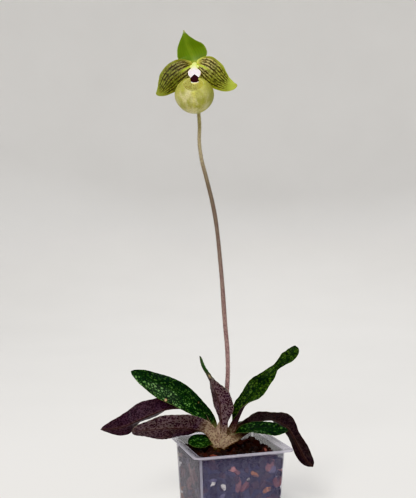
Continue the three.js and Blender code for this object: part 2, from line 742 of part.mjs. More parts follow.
function columnSolid(grow = 0) {
  const parts = [solidOf(stem(COLUMN.path, (t) => through(COLUMN.radius, t), 10, 5, grow))];
  for (const hand of [-1, 1]) {
    const [x, y, z] = COLUMN.anther.at;
    const anther = new THREE.SphereGeometry(COLUMN.anther.radius + grow, 7, 5);
    anther.translate(hand * x, y, z);
    parts.push(solidOf(anther));
  }
  const stigma = new THREE.SphereGeometry(1, 8, 5);
  stigma.scale(...COLUMN.stigma.radius.map((r) => r + grow));
  stigma.rotateX(rad(COLUMN.stigma.tilt));
  stigma.translate(...COLUMN.stigma.at);
  parts.push(solidOf(stigma));
  return swung(wasm.Manifold.union(parts));
}

// ---------------------------------------------------------------- assembly

const group = new THREE.Group();
const plant = new THREE.Group();
plant.position.set(...CROWN_AT, MIX_TOP);
plant.rotation.z = rad(PLANT_TURN);
group.add(plant);
plant.updateMatrixWorld(true);

const bloom = new THREE.Group();
bloom.position.set(...FLOWER.at);
bloom.rotation.set(rad(FLOWER.nod), rad(FLOWER.roll), 0);
plant.add(bloom);
bloom.updateMatrixWorld(true);

group.add(mesh("pot", potSolid(), COLOR.pot, 0.35, { transparent: true, opacity: 0.45 }));

const leafBlades = LEAVES.map((form) => ({
  ...form,
  make: (grow) => solidOf(blade({ ...form, clasps: true }, grow)),
}));
const inPot = (solid) => solidOf(geometryOf(solid).applyMatrix4(plant.matrixWorld));
const sockets = [solidOf(crownGeometry(GAP)), rootsSolid(GAP), ...leafBlades.map((leaf) => leaf.make(GAP))];
const bedSolid = largest(sockets.map(inPot).reduce((bed, socket) => bed.subtract(socket), mixSolid()));
group.add(mesh("potting_mix", bedSolid, COLOR.mix, 0.95));

plant.add(mesh("roots", rootsSolid(), COLOR.root, 0.9));
plant.add(mesh("crown", solidOf(crownGeometry()).subtract(solidOf(scapeGeometry(GAP))), COLOR.crown, 0.6));
plant.add(mesh("scape", solidOf(scapeGeometry()), COLOR.scape, 0.7));

for (const leaf of fitted(leafBlades, [solidOf(crownGeometry(GAP)), solidOf(scapeGeometry(GAP))])) {
  plant.add(mesh(leaf.name, leaf.solid, leaf.under ? COLOR.leafUnder : COLOR.leafTop, 0.45));
}

// The ovary runs from the scape to the back of the flower, in the flower's frame.
const toBloom = plant.matrixWorld.clone().premultiply(bloom.matrixWorld.clone().invert());
const fromPlant = (p) => vec(p).applyMatrix4(toBloom).toArray();
const scapeTop = SCAPE.path.at(-1);
const OVARY_PATH = [
  fromPlant([scapeTop[0], scapeTop[1], scapeTop[2] + GAP]),
  fromPlant([-21.6, 3.2, 358]),
  fromPlant([-22.8, 1.5, 370]),
  [0, 9, -2.4],
  [0, 0.8, 0],
];
const OVARY = { radius: [[0, 1.75], [0.15, 2.1], [0.5, 2.7], [0.85, 2.7], [1, 3.2]], furrow: 0.9, rib: 1.05 };
const ovaryRadius = (t, k) => through(OVARY.radius, t) * (k % 2 ? OVARY.furrow : OVARY.rib);
const ovarySolid = (grow = 0) => solidOf(stem(OVARY_PATH, ovaryRadius, 12, 12, grow));

const BRACT = {
  spine: [
    fromPlant([-20.6, 4.6, 343]),
    fromPlant([-21.4, 6.4, 349]),
    fromPlant([-22, 8.6, 356]),
    fromPlant([-22.4, 11.4, 363]),
  ],
  half: [[0, 3.4], [0.3, 5], [0.6, 4.2], [0.9, 1.8], [1, 0.6]],
  fold: [[0, 42], [0.5, 30], [1, 20]],
  side: [1, 0, 0],
  thick: 1,
  steps: 8,
  across: 4,
};

const bloomPieces = fitted(
  [
    { name: "ovary", make: ovarySolid, color: COLOR.ovary },
    { name: "column", make: columnSolid, color: COLOR.column },
    { name: "staminode", make: (grow) => swung(solidOf(blade(STAMINODE, grow))), color: COLOR.staminode },
    { name: "pouch", make: pouchSolid, color: COLOR.pouch },
    { name: "petal_left", make: (grow) => solidOf(blade(PETAL_LEFT, grow)), color: COLOR.petal },
    { name: "petal_right", make: (grow) => solidOf(blade(PETAL_RIGHT, grow)), color: COLOR.petal },
    { name: "dorsal_sepal", make: (grow) => solidOf(blade(SEPAL, grow)), color: COLOR.sepal },
    { name: "synsepal", make: (grow) => swung(solidOf(blade(SYNSEPAL, grow))), color: COLOR.sepal },
    { name: "bract", make: (grow) => solidOf(blade(BRACT, grow)), color: COLOR.bract },
  ],
  [solidOf(scapeGeometry(GAP).applyMatrix4(toBloom))],
);
for (const piece of bloomPieces) bloom.add(mesh(piece.name, piece.solid, piece.color));

export default group;
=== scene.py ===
"""A slipper orchid in flower in its clear pot: the looks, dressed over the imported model.

Lengths are in millimetres until a mesh is made. They are given in the frames that the solids are drawn in:
PLANT has its origin on the potting mix at the crown and faces -Y, FLOWER has it where the flower's parts
meet, and LIP is FLOWER swung so that the pouch hangs plumb.
"""

import math

import bpy
import numpy as np
from mathutils import Matrix, Vector


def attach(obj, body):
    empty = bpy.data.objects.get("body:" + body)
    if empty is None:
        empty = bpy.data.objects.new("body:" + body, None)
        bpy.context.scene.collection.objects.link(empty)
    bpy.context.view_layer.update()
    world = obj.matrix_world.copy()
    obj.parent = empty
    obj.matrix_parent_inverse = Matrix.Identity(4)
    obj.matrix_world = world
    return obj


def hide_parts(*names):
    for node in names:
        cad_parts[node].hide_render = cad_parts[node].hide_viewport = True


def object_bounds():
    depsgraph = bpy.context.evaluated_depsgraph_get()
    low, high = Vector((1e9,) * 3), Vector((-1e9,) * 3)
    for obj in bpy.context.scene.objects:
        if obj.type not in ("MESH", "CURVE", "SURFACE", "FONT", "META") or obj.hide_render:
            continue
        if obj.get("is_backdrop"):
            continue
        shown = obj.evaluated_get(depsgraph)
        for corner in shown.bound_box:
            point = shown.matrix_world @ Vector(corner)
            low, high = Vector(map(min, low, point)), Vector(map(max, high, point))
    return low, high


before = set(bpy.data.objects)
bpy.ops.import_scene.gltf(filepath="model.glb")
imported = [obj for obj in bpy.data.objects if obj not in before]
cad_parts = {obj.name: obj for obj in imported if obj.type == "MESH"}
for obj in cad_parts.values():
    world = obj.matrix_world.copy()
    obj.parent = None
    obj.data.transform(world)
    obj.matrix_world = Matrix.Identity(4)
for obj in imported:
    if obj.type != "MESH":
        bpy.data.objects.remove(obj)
cad_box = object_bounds()

MM = 0.001
PLANT_TURN = -17.5  # of the plant in its pot
FLOWER_NOD = 8  # of the flower, forwards
FLOWER_TILT = 8  # of the flower, to the left as seen from in front
CURVE_STEPS = 60  # between two points of a spine
LEVEL = ((0, 0), (1, 0))  # the stops of an angle that stays at 0
CREASE = 0.006  # how softly a blade is folded along its midrib
EDGE_THIN = 0.8  # how much thinner a blade is at its edges
RIB_WIDTH, GROOVE_WIDTH = 1.1, 0.9  # of the midrib below and its groove above
HAIR_RADIUS = 0.06
HAIRS = {  # how many, how long, how tangled and what colour
    "stem": (7000, 0.85, 0.25, "806c66"),
    "ovary": (1600, 0.9, 0.3, "b5a58f"),
    "bract": (500, 0.8, 0.3, "b0a58e"),
}
FINENESS = {  # steps or rows along each form, and steps across it or round it
    "leaf": (140, 30), "petal": (110, 44), "sepal": (100, 36), "staminode": (70, 30), "bract": (50, 22),
    "claw": (20, 12), "crown": (60, 72), "scape": (260, 20), "ovary": (90, 48), "column": (24, 24),
}


# ---- frames


def turned(axis, degrees):
    return Matrix.Rotation(math.radians(degrees), 4, axis)


def moved(points, matrix):
    m = np.array(matrix)
    return np.asarray(points, float) @ m[:3, :3].T + m[:3, 3]


ROW = Matrix.Identity(4)
PLANT = Matrix.Translation((-7.8, 8.2, 86)) @ turned("Z", PLANT_TURN)
FLOWER_IN_PLANT = Matrix.Translation((-23.8, -14, 381)) @ turned("X", FLOWER_NOD) @ turned("Y", -FLOWER_TILT)
FLOWER = PLANT @ FLOWER_IN_PLANT
LIP = FLOWER @ turned("Y", FLOWER_TILT)


# ---- curves


def unit(v):
    return v / np.maximum(np.linalg.norm(v, axis=-1, keepdims=True), 1e-12)


def bell(distance, width):
    return np.exp(-((distance / width) ** 2))


def circle(count):
    """Equal steps of angle round a circle."""
    return 2 * np.pi * np.arange(count) / count


def through(stops, t):
    """The smooth value at t through (t, value) stops, which never overshoots them."""
    at, value = np.array(stops, float).T
    t = np.clip(t, at[0], at[-1])
    h = np.diff(at)
    slope = np.diff(value) / h
    tangent = np.zeros_like(value)
    tangent[[0, -1]] = slope[[0, -1]]
    level = slope[:-1] * slope[1:] > 0
    inner = 2 * slope[:-1] * slope[1:] / np.where(level, slope[:-1] + slope[1:], 1)
    tangent[1:-1] = np.where(level, inner, 0)
    i = np.clip(np.searchsorted(at, t, side="right") - 1, 0, len(h) - 1)
    u = (t - at[i]) / h[i]
    rise = u * u * (3 - 2 * u)
    bend = tangent[i] * u * (1 - u) ** 2 - tangent[i + 1] * u * u * (1 - u)
    return value[i] * (1 - rise) + value[i + 1] * rise + h[i] * bend


class Spine:
    """A centripetal curve through points, read by the share of its length."""

    def __init__(self, points):
        p = np.array(points, float)
        p = np.vstack([2 * p[0] - p[1], p, 2 * p[-1] - p[-2]])
        step = np.diff(p, axis=0)
        gap = np.linalg.norm(step, axis=1, keepdims=True) ** 0.5
        slope = step / gap
        bend = slope[:-1] - (p[2:] - p[:-2]) / (gap[:-1] + gap[1:]) + slope[1:]
        u = np.linspace(0, 1, CURVE_STEPS, endpoint=False)[:, None]
        parts = []
        for start, rise, out, home in zip(p[1:], step[1:-1], gap[1:-1] * bend[:-1], gap[1:-1] * bend[1:]):
            square = 3 * rise - 2 * out - home
            parts.append(start + out * u + square * u**2 + (out + home - 2 * rise) * u**3)
        self.points = np.vstack([*parts, p[-2]])
        steps = np.linalg.norm(np.diff(self.points, axis=0), axis=1)
        self.length = steps.sum()
        self.share = np.concatenate([[0], np.cumsum(steps)]) / self.length

    def at(self, t):
        return np.stack([np.interp(t, self.share, axis) for axis in self.points.T], -1)

    def tangent(self, t, step=2e-3):
        return unit(self.at(np.minimum(t + step, 1)) - self.at(np.maximum(t - step, 0)))

    def around(self, t):
        """Two unit vectors across the curve."""
        tangent = self.tangent(t)
        first = unit(np.cross(tangent, [0, 1, 0.2]))
        return first, np.cross(tangent, first)


# ---- meshes


def added(name, data):
    """A new object in the scene."""
    made = bpy.data.objects.new(name, data)
    bpy.context.scene.collection.objects.link(made)
    return made


def mesh_of(name, points, faces, smooth=True):
    mesh = bpy.data.meshes.new(name)
    mesh.from_pydata(points.tolist(), [], faces)
    mesh.polygons.foreach_set("use_smooth", [smooth] * len(faces))
    return mesh


def piece(name, points, faces, place, looks, node, slot=None, face_looks=(), smooth=True, **attributes):
    """A mesh in the frame place, which stands for a CAD node; slot is not used.
    looks are its materials, face_looks which of them each face has, and an attribute is one value for the
    whole or one for each point."""
    points = np.reshape(points, (-1, 3))
    mesh = mesh_of(name, moved(points, place) * MM, faces, smooth)
    for key, values in attributes.items():
        values = np.float32(values)
        if values.ndim == 0:
            values = np.full(len(points), values)
        kind, field = ("FLOAT_VECTOR", "vector") if values.size > len(points) else ("FLOAT", "value")
        mesh.attributes.new(key, kind, "POINT").data.foreach_set(field, values.ravel())
    for look in looks:
        mesh.materials.append(look)
    if len(looks) > 1 and len(face_looks):
        mesh.polygons.foreach_set("material_index", np.int32(face_looks))
    mesh.update()
    made = added(name, mesh)
    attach(made, "root")
    slot or node
    if node:
        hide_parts(node)
    return made


def grid_faces(rows, columns, closed=False, start=0):
    """Quads of a grid of points, counter-clockwise where columns run to the right and rows up."""
    row = np.arange(rows - 1)[:, None] * columns
    column = np.arange(columns if closed else columns - 1)[None, :]
    after = (column + 1) % columns
    corners = (row + column, row + after, row + columns + after, row + columns + column)
    return (np.stack(corners, -1).reshape(-1, 4) + start).tolist()


def rim_faces(rows, columns):
    """Quads between the edge of a grid of points and that of a second grid below, which follows it."""
    place = np.arange(rows * columns).reshape(rows, columns)
    edge = [*place[0], *place[1:, -1], *place[-1, -2::-1], *place[-2:0:-1, 0]]
    pairs = zip(edge, edge[1:] + edge[:1])
    return [[int(i) for i in (a, a + place.size, b + place.size, b)] for a, b in pairs]


def tube(spine, radius_at, steps, sides):
    """Points (steps + 1, sides) round a curve, the way out at each, the t of each row and the angle of each
    column. radius_at takes t and the angle."""
    t = np.linspace(0, 1, steps + 1)
    angle = circle(sides)
    first, second = spine.around(t)
    ring = np.cos(angle)[:, None] * first[:, None] + np.sin(angle)[:, None] * second[:, None]
    radius = radius_at(t[:, None], angle) + 0 * angle
    return spine.at(t)[:, None] + radius[..., None] * ring, ring, t, angle


def tube_faces(rows, columns):
    """A tube's sides and its two end caps."""
    faces = grid_faces(rows, columns, closed=True)
    faces.append(list(range(columns))[::-1])
    faces.append(list(range((rows - 1) * columns, rows * columns)))
    return faces


def joined(*bodies):
    """Several (points, faces, attributes) as one."""
    points, faces, start = [], [], 0
    for body_points, body_faces, _ in bodies:
        points.append(body_points)
        faces.extend([[i + start for i in face] for face in body_faces])
        start += len(body_points)
    keys = bodies[0][2]
    return np.vstack(points), faces, {k: np.concatenate([b[2][k] for b in bodies]) for k in keys}


# ---- blades: leaves, petals and sepals
#
# A blade's table has its spine and, by t, its half width, and its roll and fold in degrees. It may have the
# way its side points, its wave (height, count and phase) and frill (height and count), its veins (how many
# on each half, and their height), its rib (how far it stands out below and is sunk above), its thickness,
# and the share of its length in which its tip is rounded.


def radians_of(form, key, t):
    """An angle of a blade at t, from its table."""
    return np.radians(through(form.get(key, LEVEL), t))


def blade_axes(form, spine, share, t):
    """The unit vectors across a blade and up from it, rolled about its spine."""
    tangent = spine.tangent(share)
    chord = np.subtract(form["spine"][-1], form["spine"][0])
    sideways = unit(np.array(form.get("side", (chord[1], -chord[0], 0)), float))
    side = unit(sideways - (tangent @ sideways)[..., None] * tangent)
    up = np.cross(side, tangent)
    roll = radians_of(form, "roll", t)[..., None]
    return side * np.cos(roll) + up * np.sin(roll), up * np.cos(roll) - side * np.sin(roll)


def ripple(form, s, t):
    """How far a blade is waved off its plane: broad waves and a fine frill, both towards its edges."""
    wave, waves, phase = form.get("wave", (0, 0, 0))
    frill, frills = form.get("frill", (0, 0))
    hand = np.where(s > 0, 0, 2)
    broad = wave * np.abs(s) ** 1.5 * np.sin(2 * np.pi * waves * t + phase + hand)
    fine = frill * np.abs(s) ** 3 * np.sin(2 * np.pi * frills * t + 3 * hand + phase)
    fade = np.minimum(np.minimum(1, 4 * np.maximum(0, t)), 5 * (1 - t) + 0.15)
    return (broad + fine) * fade


def blade(form, steps, across, seed=0):
    """A thin sheet with an upper and an under side, folded along its midrib, rolled about it and waved at
    its edges. Where it clasps the stem, the first stretch of its spine is its sheath, and the stops of its
    tables count from the sheath's top. It returns points, faces, the material of each face (0 above, 1
    below), the upper side's normals and attributes: along, across, and lay, the place on the sheet."""
    even = np.linspace(-1, 1, across + 1)
    s = 0.35 * np.sin(even * np.pi / 2) + 0.65 * even
    spine = Spine(form["spine"])
    share = np.linspace(0, 1, steps + 1)[:, None]
    sheath = spine.share[CURVE_STEPS] if form.get("clasps") else 0
    t = (share - sheath) / (1 - sheath)
    half = through(form["half"], t) * np.sqrt(np.clip((1 - t) / form.get("tip", 0.02), 0.003, 1))
    fold = radians_of(form, "fold", t)
    keel = np.sqrt(s * s + CREASE) - np.sqrt(CREASE)
    over, lift = blade_axes(form, spine, share, t)
    wide = (half * s * np.cos(fold))[..., None]
    high = (half * keel * np.sin(fold) + ripple(form, s, t))[..., None]
    sheet = spine.at(share) + over * wide + lift * high
    normal = unit(np.cross(np.gradient(sheet, axis=1), np.gradient(sheet, axis=0)))

    flat = s * half
    rib, groove = form.get("rib", (0, 0))
    veins, vein_height = form.get("veins", (0, 0))
    thick = form.get("thick", 1.2) / 2 * (1 - EDGE_THIN * s**4) * np.minimum(1, 0.25 + 12 * (1 - t))
    relief = vein_height * np.cos(np.pi * veins * s) ** 8 * (1 - s**2) * np.minimum(1, 6 * (1 - t))
    above = sheet + normal * (thick - groove * bell(flat, GROOVE_WIDTH) * (1 - t) - relief)[..., None]
    below = sheet - normal * (thick + rib * bell(flat, RIB_WIDTH) * (1.1 - t) + relief)[..., None]

    top = grid_faces(steps + 1, across + 1)
    bottom = [[i + flat.size for i in face[::-1]] for face in top]
    rim = rim_faces(steps + 1, across + 1)
    face_looks = np.repeat((0, 1, 0), (len(top), len(bottom), len(rim)))
    lay = np.stack(np.broadcast_arrays(flat, share * spine.length, seed), -1)
    attributes = {"lay": np.tile(lay.reshape(-1, 3), (2, 1))}
    for key, values in (("along", t), ("across", s)):
        attributes[key] = np.tile(np.broadcast_to(values, flat.shape).ravel(), 2)
    points = np.stack([above, below]).reshape(-1, 3)
    return points, top + bottom + rim, face_looks, normal.reshape(-1, 3), attributes


def blade_piece(node, form, place, looks, slot=None, seed=0, name=None, **more):
    """A blade as a piece, with more attributes. It returns its points and normals."""
    points, faces, face_looks, normal, attributes = blade(form, *FINENESS[slot or node], seed)
    name = name or node + "_blade"
    piece(name, points, faces, place, looks, node, slot, face_looks, **attributes, **more)
    return points, normal


def hairs(kind, node, roots, outward, rng, place):
    """Fine hairs as three-sided spikes, in one mesh."""
    count, length, tangle, tone = HAIRS[kind]
    outward = unit(outward + tangle * rng.normal(size=(count, 3)))
    first = unit(np.cross(outward, rng.normal(size=(count, 3))))
    second = np.cross(outward, first)
    lengths = length * (0.55 + 0.9 * rng.random((count, 1)))
    foot = roots - 0.1 * outward
    corners = [foot + HAIR_RADIUS * (math.cos(a) * first + math.sin(a) * second) for a in circle(3)]
    points = np.stack([*corners, roots + outward * lengths], 1)
    faces = []
    for k in range(0, 4 * count, 4):
        faces += [[k, k + 1, k + 3], [k + 1, k + 2, k + 3], [k + 2, k, k + 3]]
    piece(kind + "_hairs", points, faces, place, [hair_look(kind + "_hair", tone)], None, slot=node)


# ---- materials


def colour(hex_code):
    """A colour from its sRGB hex code, as the linear RGBA that shaders use."""
    channels = [int(hex_code[i : i + 2], 16) / 255 for i in (0, 2, 4)]
    return (*[c / 12.92 if c <= 0.04045 else ((c + 0.055) / 1.055) ** 2.4 for c in channels], 1.0)


class Look:
    """A node material under construction. The functions after it add nodes to it: each takes an output of a
    node of the material and returns another."""

    def __init__(self, name, **sockets):
        self.material = bpy.data.materials.new(name)
        self.material.use_nodes = True
        self.shader = self.material.node_tree.nodes["Principled BSDF"]
        for key, value in sockets.items():
            self.shader.inputs[key.replace("_", " ")].default_value = value

    def attribute(self, name):
        made = node(self.shader, "Attribute", attribute_name=name)
        return made.outputs["Vector" if name == "lay" else "Fac"]

    def attributes(self, *names):
        return [self.attribute(name) for name in names]

    def place(self):
        return node(self.shader, "TexCoord").outputs["Object"]

    def finish(self, base, bump=None, distance=0.0002, strength=0.5, roughness=None):
        feed(self.shader, {"Base Color": base, "Roughness": roughness})
        if bump is not None:
            made = node(bump, "Bump", Strength=strength, Distance=distance, Height=bump)
            feed(self.shader, {"Normal": made.outputs[0]})
        return self.material


def feed(made, inputs):
    """Sets inputs of a node to values, colours or the outputs of other nodes."""
    for key, value in inputs.items():
        if isinstance(value, bpy.types.NodeSocket):
            made.id_data.links.new(value, made.inputs[key])
        elif value is not None:
            made.inputs[key].default_value = colour(value) if isinstance(value, str) else value


def node(near, kind, *inputs, **named):
    """A new node beside near, with inputs in their order, and inputs and properties by name."""
    made = near.id_data.nodes.new("ShaderNode" + kind)
    for key in [key for key in named if key.islower()]:
        setattr(made, key, named.pop(key))
    feed(made, {**dict(enumerate(inputs)), **named})
    return made


def maths(operation, a, b=None, c=None):
    return node(a, "Math", a, b, c, operation=operation).outputs[0]


def times(a, b):
    return maths("MULTIPLY", a, b)


def plus(a, b):
    return maths("ADD", a, b)


def minus(a, b):
    return maths("SUBTRACT", a, b)


def scaled(a, by, shift):
    return maths("MULTIPLY_ADD", a, by, shift)


def absolute(a):
    return maths("ABSOLUTE", a)


def vector(operation, a, b):
    return node(a, "VectorMath", a, b, operation=operation).outputs[0]


def stretch(place, *factors):
    return vector("MULTIPLY", place, factors)


def split(place):
    return node(place, "SeparateXYZ", place).outputs


def noise(place, scale, detail, roughness=0.5, output="Fac"):
    made = node(place, "TexNoise", Vector=place, Scale=scale, Detail=detail, Roughness=roughness)
    return made.outputs[output]


def voronoi(place, feature="F1", output="Distance"):
    return node(place, "TexVoronoi", feature=feature, Vector=place, Scale=1).outputs[output]


def edges(place):
    """The distance to the edge of a cell."""
    return voronoi(place, feature="DISTANCE_TO_EDGE")


def span(value, low, high, amount=1, least=0):
    """A smooth step from least, where value is low, to amount, where it is high."""
    made = node(value, "MapRange", value, low, high, least, amount, interpolation_type="SMOOTHSTEP")
    return made.outputs[0]


def dotted(place, factors, rim, core, amount=1):
    """Round dots that fade from their core to their rim."""
    return span(voronoi(stretch(place, *factors)), rim, core, amount)


def mix(factor, a, b):
    made = node(factor, "Mix", data_type="RGBA")
    feed(made, {0: factor, 6: a, 7: b})
    return made.outputs[2]


def coats(base, *layers):
    """base under layers of (how much, colour), the last on top."""
    for factor, tone in layers:
        base = mix(factor, base, tone)
    return base


def ramp(value, *stops, interpolation="LINEAR"):
    made = node(value, "ValToRGB", value)
    made.color_ramp.interpolation = interpolation
    elements = made.color_ramp.elements
    while len(elements) < len(stops):
        elements.new(0.5)
    for element, (at, code) in zip(elements, stops):
        element.position = at
        element.color = colour(code)
    return made.outputs[0]


def warp(place, scale, amount):
    """place pushed about by noise, amount in its own units."""
    centred = vector("SUBTRACT", noise(place, scale, 1, output="Color"), (0.5,) * 3)
    return vector("ADD", place, vector("MULTIPLY", centred, (2 * amount,) * 3))


def leaf_top():
    """Dark and light green in a net, with a dark crease and a pale margin, darkened by painted shade."""
    look = Look("leaf_top", Specular_IOR_Level=0.15, Subsurface_Weight=0.06, Subsurface_Scale=0.0012)
    lay, along, across = look.attributes("lay", "along", "across")
    warm, shade, scar = look.attributes("warm", "shade", "scar")
    cells = warp(warp(stretch(lay, 0.44, 0.3, 1), 0.8, 0.35), 3, 0.22)
    border = edges(cells)
    pick = split(voronoi(cells, output="Color"))[0]
    fine = noise(stretch(lay, 1, 0.35, 1), 1.6, 3)
    light = times(span(pick, 0, 0.8, 1.1, 0.4), span(border, -0.02, 0.3))
    light = scaled(light, 0.66, scaled(noise(lay, 0.09, 3), 0.55, -0.2))
    light = scaled(fine, 0.3, minus(light, 0.08))
    rib = absolute(split(lay)[0])
    base = mix(dotted(lay, (1.1, 0.8, 1), 0.5, 0.28, 0.6), "948f6a", "4f3636")
    green = coats(
        ramp(light, (0, "040a06"), (0.25, "0d1b10"), (0.55, "294423"), (0.95, "628350")),
        (times(times(warm, span(light, 0.2, 0.7)), 0.5), "55701c"),
        # painted shade from the leaf's shade attribute
        (shade, "060d07"),
        (span(rib, 0.9, 0.25), "0e210b"),
        (span(absolute(across), 0.96, 1, 0.5), "7d8f62"),
        (span(along, 0.12, -0.02, 0.95), base),
        (scar, "b89c78"),
    )
    height = plus(times(border, 0.5), times(fine, 0.6))
    return look.finish(green, height, 0.00025, 0.35, span(light, 0, 1, 0.48, 0.55))


def leaf_under():
    """Grey and mauve under dense purple dots, and green where it is fresh, darkened by painted shade."""
    look = Look("leaf_under", Specular_IOR_Level=0.15, Subsurface_Weight=0.05, Subsurface_Scale=0.001)
    lay, along, across = look.attributes("lay", "along", "across")
    purple, shade, fresh, bare, scar = look.attributes("purple", "shade", "fresh", "bare", "scar")
    cloud = noise(lay, 0.07, 3)
    dots = span(voronoi(warp(stretch(lay, 0.64, 0.48, 1), 0.6, 0.3)), 0.6, 0.38)
    small = dotted(lay, (1.8, 1.3, 1.7), 0.5, 0.25)
    cover = span(noise(lay, 0.16, 2), 0.3, 0.6, 0.95, 0.7)
    spotted = times(maths("MAXIMUM", dots, times(small, 0.7)), cover)
    rib = absolute(split(lay)[0])
    base = coats(
        "a8967e",
        (times(spotted, 0.7), "553439"),
        (span(along, -0.05, -0.13, 0.85), "33231a"),
    )
    skin = coats(
        ramp(cloud, (0.25, "6c6760"), (0.5, "776768"), (0.75, "70606d")),
        (times(purple, 0.8), "493144"),
        # painted shade darkens the ground and the dots
        (shade, "1e1a19"),
        (spotted, mix(shade, "21121d", "040303")),
        (fresh, mix(spotted, "2f4a28", "1c3220")),
        (span(rib, 2.2, 0.6, 0.25), "6a5a54"),
        (span(rib, 0.5, 0.2, 0.7), "241014"),
        (span(absolute(across), 0.95, 1, 0.6), "827a74"),
        (span(minus(along, bare), 0.1, -0.1), base),
        (scar, "98876a"),
    )
    height = scaled(dots, -0.3, noise(stretch(lay, 1.2, 0.15, 1), 1, 2))
    return look.finish(skin, height, 0.0002, 0.4, span(cloud, 0.2, 0.8, 0.55, 0.42))


def petal(name, depth):
    """Yellow-green with a net of maroon veins, as dark as depth, and darkened by painted shade."""
    look = Look(name, Roughness=0.55, Specular_IOR_Level=0.22, Subsurface_Weight=0.2,
                Subsurface_Scale=0.0012)
    lay, along, across, shade, clear = look.attributes("lay", "along", "across", "shade", "clear")
    x, _, seed = split(lay)
    strands = times(across, PETAL_NET["lines"])
    links = times(along, PETAL_NET["links"])
    bent = warp(node(seed, "CombineXYZ", strands, links, seed).outputs[0], 0.45, 0.2)
    strand = maths("PINGPONG", split(bent)[0], 0.5)
    line = span(strand, span(along, 0.1, 0.8, 0.28, 0.37), 0.14)
    net = span(edges(bent), 0.13, 0.03)
    broken = span(noise(bent, 1.3, 2), 0.32, 0.52, 1, 0.5)
    vein = times(maths("MAXIMUM", line, times(net, 0.8)), broken)
    edge = plus(absolute(across), scaled(noise(lay, 0.3, 2), 0.2, -0.1))
    inside = times(span(edge, 0.92, 0.76), span(minus(along, clear), 0, -0.2))
    inside = times(inside, span(along, 0.01, 0.09))
    skin = coats(
        mix(noise(lay, 0.12, 2), "656e16", "8a902f"),
        (times(inside, span(along, 0.5, 0.12, 0.75, 0.12)), "c0b27c"),
        (span(along, 0.6, 0.95, 0.85), "a4ae4e"),
        (span(edge, 0.9, 1, 0.45), "aeb458"),
        (span(along, 0.14, 0.02, 0.9), "d3d06a"),
        # painted shade, deepest on the left petal
        (shade, "363a0e"),
        (times(times(vein, inside), depth), "190608"),
        (times(span(absolute(x), 1.4, 0.5), span(along, 0.42, 0.14, 0.85)), "adbb44"),
    )
    return look.finish(skin, times(line, -1), 0.00015, 0.5)


def sepal():
    """Apple green with fine darker veins and a pale margin, and a pale tip that is a painted highlight."""
    look = Look("sepal", Roughness=0.45, Specular_IOR_Level=0.3, Subsurface_Weight=0.18,
                Subsurface_Scale=0.0012)
    lay, along, across = look.attributes("lay", "along", "across")
    bent = plus(across, times(noise(lay, 0.1, 1), 0.08))
    line = span(maths("PINGPONG", times(bent, 6), 0.5), 0.16, 0)
    green = coats(
        mix(noise(lay, 0.1, 2), "446002", "5a730a"),
        (times(line, 0.55), "3c5808"),
        (span(absolute(split(lay)[0]), 4, 0.5, 0.26), "7f9232"),
        (span(absolute(across), 0.9, 1, 0.6), "94a25a"),
        (span(along, 0.14, 0, 0.6), "a3a93c"),
        # painted highlight on the tip
        (span(along, 0.87, 1, 0.75), "a9ae88"),
    )
    return look.finish(green, times(line, -1), 0.00012, 0.5)


def pouch_look():
    """Waxy yellow-green, creamy and blotched in front, the blotches partly a painted highlight, and darker
    on its right side by painted shade. Its dotted lining glows, a painted light for the light that shines
    through its thin wall.
    """
    look = Look("pouch", Roughness=0.5, Subsurface_Weight=0.6, Subsurface_Scale=0.0025,
                Subsurface_Radius=(1.0, 0.9, 0.45), Emission_Strength=0.27)
    lay, belly, inside, seam = look.attributes("lay", "belly", "inside", "seam")
    x = split(lay)[0]
    soft = noise(stretch(lay, 1, 1, 0.6), 0.13, 3)
    # cream blotches on the front, partly a painted highlight
    blotch_and_painted_highlight = times(span(soft, 0.36, 0.66), span(belly, 0.2, 0.85))
    vein = span(edges(warp(stretch(lay, 0.26, 0.12, 1), 0.7, 0.3)), 0.07, 0)
    lining = coats(
        "cccb94",
        (times(dotted(lay, (0.62, 0.62, 0.8), 0.46, 0.28), 0.5), "7e4c3a"),
        (span(x, 1, 6, 0.8), "d2cf80"),
    )
    skin = coats(
        ramp(noise(lay, 0.07, 2), (0.3, "8c8e39"), (0.7, "a3a34d")),
        (times(blotch_and_painted_highlight, 0.62), "d3caa8"),
        (times(seam, 0.5), "bcb95a"),
        # painted shade on the right side of the pouch
        (span(x, 6, 19, 0.45), "6f7030"),
        (span(noise(lay, 0.8, 3), 0.4, 0.6, 0.34), "7d6f38"),
        (times(vein, 0.2), "737f32"),
        (inside, lining),
    )
    # painted light: the lining glows in its own colour, for the light that shines through the thin wall
    feed(look.shader, {"Emission Color": mix(inside, "000000", lining)})
    return look.finish(skin, plus(times(vein, -0.6), soft), 0.0003, 0.35)


def staminode_look():
    """White, pale yellow at its upper end and lower lip, with a dark maroon patch."""
    look = Look("staminode", Roughness=0.75, Specular_IOR_Level=0.25, Subsurface_Weight=0.1,
                Subsurface_Scale=0.0006)
    lay, along = look.attributes("lay", "along")
    x = absolute(split(lay)[0])
    down = plus(along, scaled(noise(lay, 0.8, 2), 0.05, -0.025))
    roof = scaled(x, STAMINODE_PATCH["roof"], STAMINODE_PATCH["apex"])
    foot = scaled(times(x, x), -STAMINODE_PATCH["corner"], STAMINODE_PATCH["foot"])
    below, above = (span(minus(a, b), -0.012, 0.018) for a, b in ((down, roof), (foot, down)))
    skin = coats(
        mix(span(noise(lay, 0.4, 2), 0.4, 0.7), "ebe4e6", "d8c9d4"),
        (span(along, 0.36, 0.1), "e2e2a6"),
        (span(along, 0.885, 0.92), "d8d28c"),
        (maths("MINIMUM", below, above), mix(noise(lay, 0.8, 2), "140105", "2e0814")),
    )
    return look.finish(skin, noise(lay, 1.2, 2), 0.0001, 0.3)


def column_look():
    look = Look("column", Roughness=0.4, Subsurface_Weight=0.2, Subsurface_Scale=0.001)
    place = look.place()
    cream = mix(noise(place, 500, 2), "e8eba2", "cfd95f")
    return look.finish(cream, noise(place, 1200, 2), 0.0001, 0.3)


